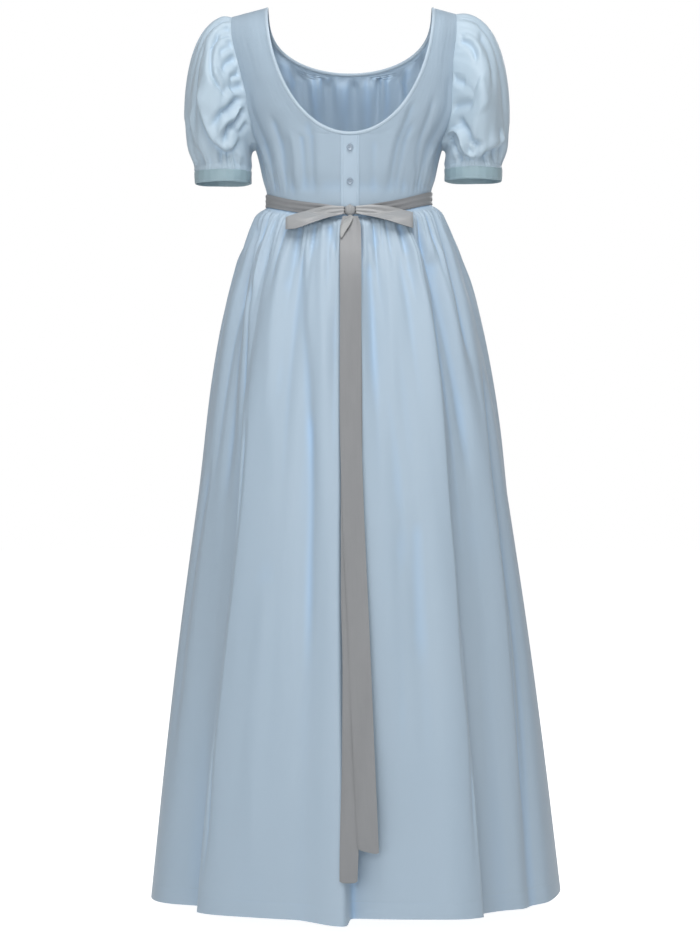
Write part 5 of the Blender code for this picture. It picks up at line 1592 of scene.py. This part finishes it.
def skirt_turns(middle):
    """Turns of the fine columns of a panel, closest together along the laps."""
    even = middle + np.linspace(-QUARTER, QUARTER, EVEN_STEPS)
    closeness = np.ones(len(even))
    for fold in FOLDS:
        if fold["proud"]:
            for turn in fold["turns"]:
                away = wrap(even - math.radians(turn))
                closeness += LAP_CLOSENESS * np.exp(-(away / LAP_CLOSE) ** 2)
    total = np.concatenate([[0.0], np.cumsum((closeness[1:] + closeness[:-1]) / 2)])
    return np.interp(np.linspace(0, total[-1], SKIRT_COLUMNS + 1), total, even)


def skirt(name, middle, finish):
    """A skirt panel, half of the way round, between the side seams."""
    shift = np.array([0.0, math.cos(middle) * GAP / 2, -GAP])
    below = skirt_rows()
    turn = skirt_turns(middle)
    if middle:
        # the front's seam allowances, which lie inside the back
        turn = np.concatenate([[turn[0] - SIDE_ALLOWANCE], turn, [turn[-1] + SIDE_ALLOWANCE]])
    down, angle = grid(below / SKIRT_LENGTH, turn)
    points = skirt_surface(angle, down) + shift
    under = ease(np.abs(angle - middle), QUARTER - 0.002, QUARTER + 0.001) * (FINE_CLOTH + 0.0004)
    arc = (QUARTER - np.abs(angle - middle)) * skirt_radius(down * SKIRT_LENGTH)
    groove = SIDE_GROOVE * np.exp(-(arc / SIDE_GROOVE_REACH) ** 2) * ease(down, 0.0, 0.03)
    above_stitches = down * SKIRT_LENGTH - (SKIRT_LENGTH - HEM_TURN)
    stitched = HEM_STITCH_DIP * np.exp(-(above_stitches / HEM_STITCH_REACH) ** 2)
    inwards = groove + stitched + (under if middle else 0)
    points = points - skirt_out(angle, down) * inwards[..., None]
    turned = ease(below, SKIRT_LENGTH - HEM_TURN - 0.001, SKIRT_LENGTH - HEM_TURN + 0.001)
    wall = np.repeat(FINE_CLOTH + (HEM_TURNED - FINE_CLOTH) * turned, len(turn))
    across = (turn - middle) * SKIRT_REACH
    return grid_sheet(name, points, below, across, wall, [finish])


# ---- the sash and its bow

SASH_FOLD = 0.0003         # height of the folds along the sash
SASH_ROOM = 0.0004         # the least room beneath them
KNOT_FOLD = 0.0006         # how much higher the folds are at the knot
KNOT_FOLD_REACH = 0.42     # and how far round that reaches, as the sine of the turn
GATHER_ROOM = 0.0060       # room that the bow's loops need over the skirt's gathers
LOOP_STEPS = 40            # along each straight layer of a loop
LOOP_BEND_STEPS = 17
LOOP_RIPPLE = 0.0006       # height of the ripples that run from the knot
LOOP_RIPPLE_FADES = ((-0.1, 0.15), (0.35, 0.95))   # shares of the loop over which they begin and end
TAIL_STRIP = (-0.044, 0.020, 17)   # from where to where the skirt under the ends is measured, and how often
TAIL_RIPPLE = 0.0005       # height of an end's ripples across it just under the knot
TAIL_TUCK = 0.060          # length in which they die away
TAIL_ROOM = 0.0005         # room beneath them
TAIL_CORNER = 0.0030       # how much an end's corners draw up
SELVEDGE = 0.0002          # how much the ribbon's woven edges stand out
SELVEDGE_REACH = 0.12      # share of half the width over which they do
SLANT_REACH = 0.05         # length over which the slanting cut of an end shapes its rows


def sash_face(turn, rise, lift):
    """A point of the sash: rise above the waist seam, lift off the cloth beneath."""
    height = waist(turn) + rise
    form, at = (TORSO, height) if rise[0] > 0 else (SKIRT, -rise)
    half_width = curve(form, "half_width", at) * (1 + WAIST_LEAN * np.sign(np.sin(turn)))
    depth = form_depth(form, at, turn)
    return stack((half_width + lift) * np.sin(turn), (depth + lift) * np.cos(turn), height)


def sash_half(turn):
    """Half of the sash's height, which the knot draws together."""
    half_width = curve(TORSO, "half_width", WAIST_SIDE)
    away = np.where(np.cos(turn) > 0, np.sin(turn) * half_width, 1.0)
    return SASH_HALF - SASH_PINCH * np.exp(-(away / SASH_PINCH_REACH) ** 2)


def knot_middle():
    """Centre of the knot, which sits on the sash at the centre back."""
    behind = SKIRT[0]["back_depth"] + SASH_LIFT + RIBBON_WALL + GAP
    return np.array([0.0, behind + KNOT_SIZE[1], WAIST_BACK])


def clear_depth(x, z):
    """How far behind the side seams a ribbon has to lie to pass over the skirt's gathers."""
    below = np.clip(waist(np.arcsin(np.clip(x / SKIRT[0]["half_width"], -1, 1))) - z, 0, None) + 0.004
    spare = GATHER_ROOM * ease(below, 0.010, 0.030) + SASH_LIFT + RIBBON_WALL + GAP
    half_width = curve(SKIRT, "half_width", below) + spare
    depth = curve(SKIRT, "back_depth", below) + spare
    return depth * np.sqrt(np.clip(1 - (x / half_width) ** 2, 0.05, 1))


def tail_bed(height):
    """How far back the cloth stands out under the hanging ribbons, near a height."""
    probe = np.linspace(*TAIL_STRIP)
    levels = np.clip(height + 0.003 * np.linspace(-1, 1, 3), HEM, TAIL_TOP)
    x, z = np.meshgrid(probe, levels)
    return max(tail_depth(x, z).max(), knot_middle()[1] - TAIL_LIFT - RIBBON_WALL)


def sash(name, finish):
    """The ribbon round the high waist, with soft folds along it that draw together at the knot."""
    turn = round_angles(SASH_COLUMNS)
    away = np.where(np.cos(turn) > 0, np.sin(turn), 1.0)
    folds = SASH_FOLD + KNOT_FOLD * np.exp(-(away / KNOT_FOLD_REACH) ** 2)
    rows = []
    for across in np.linspace(1, -1, SASH_ROWS):
        fold = folds * np.cos(2.4 * math.pi * across + 1.3 * np.sin(2 * turn) + 0.5)
        edge = 0.0003 * (1 - across ** 2)
        lift = SASH_LIFT + FINE_RIBBON + SASH_ROOM + edge + np.maximum(fold, -SASH_ROOM)
        rise = across * sash_half(turn) + 0.0004 * np.sin(5 * turn + across)
        rows.append(sash_rise(turn, rise, lift))
    points = np.array(rows)
    quads = grid_quads(*points.shape[:2], closed=True)
    # the ribbon's length goes round, so its places on the cloth change over
    width = np.linspace(0, 2 * SASH_HALF, SASH_ROWS)
    marks = grid_marks(width, np.linspace(0, SASH_ROUND, SASH_COLUMNS + 1))[..., ::-1]
    return thick_sheet(name, points.reshape(-1, 3), quads, marks, FINE_RIBBON, [finish])


def sash_rise(turn, rise, lift):
    """Points of the sash's fine face, each above or below the waist seam."""
    upper = sash_face(turn, np.maximum(rise, 1e-6), lift)
    lower = sash_face(turn, np.minimum(rise, -1e-6), lift)
    return np.where((rise > 0)[:, None], upper, lower)


def knot(name, finish):
    """The drawn-up knot: ribbon wrapped over the bow's middle, with creases running down it."""
    middle = knot_middle()
    t, a = grid(np.linspace(0.10 * math.pi, 0.90 * math.pi, KNOT_ROWS), round_angles(KNOT_COLUMNS))
    crease = 0.05 * np.cos(7.5 * t + 0.8 * np.sin(a) + 0.4) + 0.02 * np.cos(17 * t + 1.2 * np.cos(a))
    wide = np.sin(t) * (1 + crease * np.sin(t))
    points = middle + stack(-np.cos(t), np.sin(a) * wide, np.cos(a) * wide) * np.array(KNOT_SIZE)
    down = np.linspace(0, KNOT_LENGTH, KNOT_ROWS)
    across = np.linspace(0, KNOT_ROUND, KNOT_COLUMNS + 1)
    return grid_sheet(name, points, down, across, FINE_RIBBON, [finish], middle, closed=True)


def fine_loop_path(length):
    """The ribbon's path in a loop, seen from above, as distances out and off its middle."""
    tip = LOOP_BULGE / 2
    share = np.linspace(0, 1, LOOP_STEPS)[:-1]
    out = share * (length - tip)
    off = LOOP_ROOT + (tip - LOOP_ROOT) * np.sin(share * QUARTER)
    bend = np.radians(np.linspace(90, -90, LOOP_BEND_STEPS))
    out = np.concatenate([out, length - tip + tip * np.cos(bend), out[::-1]])
    off = np.concatenate([off, tip * np.sin(bend), -off[::-1]])
    return out, off


def bow_loop(name, side, shape, finishes):
    """A loop of ribbon: out from the knot, round the tip and back, with ripples from the knot."""
    root = shape[0]["at"]
    distance, off = fine_loop_path(shape[-1]["at"] - root)
    out = root + distance
    share = distance / (shape[-1]["at"] - root)
    across = np.linspace(-1, 1, LOOP_COLUMNS)
    rows = []
    for k, place in enumerate(out):
        height = curve(shape, "height", place) + curve(shape, "half_width", place) * across
        cup = LOOP_CUP * (1 - across ** 2) * share[k] * math.copysign(1, off[k])
        fade = plateau(share[k], *LOOP_RIPPLE_FADES)
        phase = 2.6 * math.pi * across + 2.0 * share[k] + (0.4 if off[k] > 0 else 1.9)
        ripple = LOOP_RIPPLE * fade * np.cos(phase)
        behind = clear_depth(place, height) + LOOP_BULGE / 2 + RIBBON_WALL + off[k] + cup + ripple
        rows.append(stack(side * place, behind, height))
    points = np.array(rows)
    centre = points.reshape(-1, 3).mean(axis=0)
    width = np.linspace(0, LOOP_WIDTH, LOOP_COLUMNS)
    return grid_sheet(name, points, flat_down(points), width, FINE_RIBBON, finishes, centre)


def tail_depth(x, z):
    """How far back the skirt's cloth reaches at a distance from the centre and a height."""
    down = np.clip((waist(np.zeros_like(z)) - z) / (WAIST_BACK - HEM), 0, 1)
    half_width = curve(SKIRT, "half_width", down * SKIRT_LENGTH)
    turn = np.arcsin(np.clip((x + SKIRT_LEAN * down) / half_width, -1, 1))
    return skirt_surface(turn, down)[..., 1]


def tail(name, shape, lift, slant, finish):
    """A hanging end of the ribbon, lying down the back of the skirt."""
    foot = shape[0]["at"]
    heights = np.linspace(TAIL_TOP, foot, TAIL_ROWS)
    across = np.linspace(-1, 1, TAIL_COLUMNS)
    coarse = np.linspace(TAIL_TOP, foot, TAIL_PROBES)
    beds = np.array([tail_bed(height) for height in coarse])
    # the ribbon is stiff, so its depth changes slowly from one height to the next
    bed = np.interp(-heights, -coarse, np.convolve(np.pad(beds, 1, mode="edge"), [0.25, 0.5, 0.25], "valid"))
    rows = []
    for height, depth in zip(heights, bed):
        x = curve(shape, "middle", height) + curve(shape, "half_width", height) * across
        end = ease(height, foot + SLANT_REACH, foot)
        z = height + (slant * across + TAIL_CORNER * np.abs(across) ** 5) * end
        top = 1 - ease(TAIL_TOP - height, 0.0, TAIL_TUCK)
        ripple = TAIL_RIPPLE * np.cos(2.4 * math.pi * across + 0.7) * top
        wave = 0.0004 * np.sin(23 * height + 2.0 * across) + 0.0003 * np.sin(51 * height - 1.0)
        selvedge = SELVEDGE * np.exp(-((1 - np.abs(across)) / SELVEDGE_REACH) ** 2)
        out = depth + TAIL_LIFT + lift + FINE_RIBBON + TAIL_ROOM + ripple + wave + selvedge
        rows.append(stack(x, out, z))
    width = np.linspace(0, TAIL_WIDTH, TAIL_COLUMNS)
    return grid_sheet(name, np.array(rows), TAIL_TOP - heights, width, FINE_RIBBON, [finish])


# ---- the gown

# The part of the long end that is turned over: its grid, and its size along and across the ribbon.
TURN_ROWS = 26
TURN_COLUMNS = 13
TURN_LENGTH = 0.04
TURN_WIDTH = 0.014

# Where the ribbon turns over below the knot: both edges of the turned part, as distances from the
# centre and heights, and how far it stands off the ribbon beneath.
TAIL_TURN = table("at left right height slant lift", [
    (0.00, 0.0016, -0.0026, -0.3290, 0.0000, 0.0026),
    (0.25, 0.0082, -0.0050, -0.3350, 0.0024, 0.0030),
    (0.55, 0.0142, -0.0010, -0.3465, 0.0030, 0.0026),
    (0.80, 0.0152, 0.0062, -0.3570, 0.0018, 0.0018),
    (1.00, 0.0138, 0.0118, -0.3650, 0.0004, 0.0010),
])


def tail_turn(name, finishes):
    """The part of the ribbon just under the knot that is turned over, with its reverse outside."""
    rows = []
    across = np.linspace(0, 1, TURN_COLUMNS)
    for step in np.linspace(0, 1, TURN_ROWS):
        names = ("left", "right", "height", "slant", "lift")
        left, right, height, slant, lift = [curve(TAIL_TURN, name, step) for name in names]
        x = left + (right - left) * across
        z = height + slant * (across - 0.5) * 2
        roll = np.sqrt(1 - 0.96 * (2 * across - 1) ** 6)
        bed = tail_bed(height) + TAIL_LIFT + RIBBON_WALL + 2 * GAP + 2 * FINE_RIBBON + 0.0012
        rows.append(stack(x, bed + lift * roll, z))
    down = np.linspace(0, TURN_LENGTH, TURN_ROWS)
    width = np.linspace(0, TURN_WIDTH, TURN_COLUMNS)
    return grid_sheet(name, np.array(rows), down, width, FINE_RIBBON, finishes)


# How each piece of cloth was cut: its flat size, the area of a cut that is not a rectangle, and how
# it is held.
CUTS = {
    "bodice_front": ((0.500, 0.330), 0.105, "gathered"),
    "bodice_back": ((0.200, 0.330), 0.038, "hung"),
    "neck_binding": ((0.013, 1.020), None, "stretched"),
    "placket": ((0.028, 0.110), None, "stretched"),
    "sleeve": ((0.260, 0.440), 0.085, "gathered"),
    "cuff": ((0.020, 0.290), None, "stretched"),
    "skirt": ((1.020, 1.090), 0.880, "gathered"),
    "sash": ((0.019, 0.720), None, "stretched"),
    "knot": ((0.019, 0.045), None, "folded"),
    "loop": ((0.024, 0.200), None, "folded"),
    "tail_long": ((0.031, 0.995), None, "hung"),
    "tail_short": ((0.032, 0.950), None, "hung"),
}


def add(name, node, slot, maker, *settings):
    """Make a piece, which stays on the one body and stands for a solid, which it hides.  slot is not used.
    """
    piece = maker(name, *settings)
    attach(piece, "root")
    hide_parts(node)
    return piece


def cut_of(piece, name):
    """Look up how a piece of cloth was cut and how it is held; nothing is done with it."""
    flat, area, held = CUTS[name]


def dress():
    """Make every piece and hide the solid that it stands for."""
    # the looks, in the order of their tables
    # smooth is the bodice's cloth, darker as painted shade, and puffed the sleeves' cloth, lighter as
    # painted light
    cloth, smooth, puffed, lit_wrong_side, band, edge = [sateen(name, *look) for name, look in SATEENS.items()]
    ribbon, painted_sheen_ribbon, reverse = [satin_ribbon(name, *look) for name, look in RIBBONS.items()]
    shell = button_shell("button_shell")
    thread = sewing_thread("sewing_thread")

    # the bodice's inner face takes the wrong side, lighter partly as painted light
    lined = [smooth, lit_wrong_side]
    front = add("bodice_front_cloth", "bodice_front", "blue_cloth", bodice_front, lined)
    backs = {}
    for which, cut in SLEEVES.items():
        node = "bodice_back_" + which
        backs[which] = add(node + "_cloth", node, "blue_cloth", bodice_back, cut["side"], lined)
    # edge is the binding's cloth, lighter as a painted highlight
    binding = add("neck_binding_strip", "neck_binding", "band_cloth", neck_binding, edge)
    strip = add("placket_strip", "placket", "band_cloth", placket, cloth)
    stitches = add("placket_stitches", "placket", "band_cloth", placket_stitches, thread)
    for node, height in BUTTON_HEIGHTS.items():
        add(node + "_shell", node, "button_blue", button, height, shell)
        add(node + "_thread", node, "button_blue", button_thread, height, thread)
    back = add("skirt_back_cloth", "skirt_back", "blue_cloth", skirt, 0.0, cloth)
    fore = add("skirt_front_cloth", "skirt_front", "blue_cloth", skirt, math.pi, cloth)
    girdle = add("sash_ribbon", "sash_band", "taupe_ribbon", sash, ribbon)
    # the knot and the loops take the ribbon with a painted sheen
    tie = add("bow_knot_ribbon", "bow_knot", "taupe_ribbon", knot, painted_sheen_ribbon)
    loops = []
    for which, shape in LOOPS.items():
        node = "bow_loop_" + which
        side = SLEEVES[which]["side"]
        loops.append(add(node + "_ribbon", node, "taupe_ribbon", bow_loop, side, shape, [painted_sheen_ribbon, reverse]))
    over = RIBBON_WALL + 2 * GAP
    long = add("tail_long_ribbon", "tail_long", "taupe_ribbon", tail, TAIL_LONG, 0.0, 0.0, ribbon)
    short = add("tail_short_ribbon", "tail_short", "taupe_ribbon", tail, TAIL_SHORT, over, 0.0036, ribbon)
    for which, cut in SLEEVES.items():
        node = "cuff_" + which
        puff = add("sleeve_" + which + "_cloth", "sleeve_" + which, "blue_cloth", sleeve, which, puffed)
        # band is the sleeve bands' cloth, darker as painted shade
        held = add(node + "_band", node, "band_cloth", cuff, cut, band)
        sewn = add(node + "_stitches", node, "band_cloth", cuff_stitches, cut, thread)
        cut_of(held, "cuff")
        cut_of(puff, "sleeve")
    cut_of(front, "bodice_front")
    for half in backs.values():
        cut_of(half, "bodice_back")
    cut_of(binding, "neck_binding")
    cut_of(strip, "placket")
    cut_of(back, "skirt")
    cut_of(fore, "skirt")
    cut_of(girdle, "sash")
    cut_of(tie, "knot")
    for loop in loops:
        cut_of(loop, "loop")
    turned = add("tail_long_turned_part", "tail_long", "taupe_ribbon", tail_turn, [reverse, ribbon])
    cut_of(long, "tail_long")
    cut_of(short, "tail_short")


# ---- camera, light and floor

# Each light's name, place, size in metres, power in watts and colour.
LIGHTS = [
    ("key", (0.4, 4.4, 0.3), 1.0, 26.0, (1.0, 0.985, 0.965)),
    ("fill", (1.1, 3.9, -1.0), 1.8, 32.0, (0.93, 0.97, 1.0)),
    ("top", (-0.1, 1.25, 1.35), 1.5, 39.0, (1.0, 1.0, 1.0)),
    ("front", (-1.2, -3.8, 1.0), 1.8, 42.0, (0.97, 0.985, 1.0)),
]
AIM = (0.0, 0.0, -0.65)
WORLD_LIGHT = 0.200


def light(name, place, size, power, colour):
    """A large soft light aimed at the gown."""
    lamp = bpy.data.lights.new(name, "AREA")
    lamp.shape = "SQUARE"
    lamp.size = size
    lamp.energy = power
    lamp.color = colour
    made = put_in_scene(name, lamp)
    made.location = place
    toward = unit(np.array(AIM) - np.array(place))
    tilt = math.acos(-toward[2])
    made.rotation_euler = (tilt, 0.0, math.atan2(toward[1], toward[0]) - QUARTER)
    made.visible_camera = False


def camera():
    """The camera behind the gown, level with its middle."""
    made = put_in_scene("camera", bpy.data.cameras.new("camera"))
    made.location = CAMERA_PLACE
    made.rotation_euler = (QUARTER, 0.0, math.pi)
    made.data.lens = CAMERA_LENS
    bpy.context.scene.camera = made


def surround():
    """An even white surround, which lights the gown more weakly than it is seen."""
    world = bpy.data.worlds.new("surround")
    bpy.context.scene.world = world
    world.use_nodes = True
    tree = world.node_tree
    lit = tree.nodes["Background"]
    lit.inputs["Color"].default_value = (0.95, 0.975, 1.0, 1.0)
    lit.inputs["Strength"].default_value = WORLD_LIGHT
    seen = tree.nodes.new("ShaderNodeBackground")
    seen.inputs["Color"].default_value = (1.0, 1.0, 1.0, 1.0)
    path = tree.nodes.new("ShaderNodeLightPath")
    mix = tree.nodes.new("ShaderNodeMixShader")
    tree.links.new(path.outputs["Is Camera Ray"], mix.inputs[0])
    tree.links.new(lit.outputs[0], mix.inputs[1])
    tree.links.new(seen.outputs[0], mix.inputs[2])
    tree.links.new(mix.outputs[0], tree.nodes["World Output"].inputs["Surface"])


def floor():
    """A plain pale floor."""
    angle = round_angles(FLOOR_CORNERS)
    rim = stack(FLOOR_REACH * np.cos(angle), FLOOR_REACH * np.sin(angle), FLOOR_HEIGHT)
    mesh = bpy.data.meshes.new("floor")
    mesh.from_pydata(rim.tolist(), [], [list(range(FLOOR_CORNERS))])
    pale = Look("pale_floor")
    seen_directly = pale.node("ShaderNodeLightPath", {}, {}, 0)
    pale.surface({
        "Base Color": (0.60, 0.60, 0.60, 1.0),
        "Roughness": 0.9,
        "Emission Color": 0.5 + seen_directly * 0.5,
        "Emission Strength": 0.93,
    })
    mesh.materials.append(pale.material)
    put_in_scene("floor", mesh)


dress()
camera()
surround()
floor()
for row in LIGHTS:
    light(*row)
bpy.context.scene.view_settings.view_transform = "Standard"
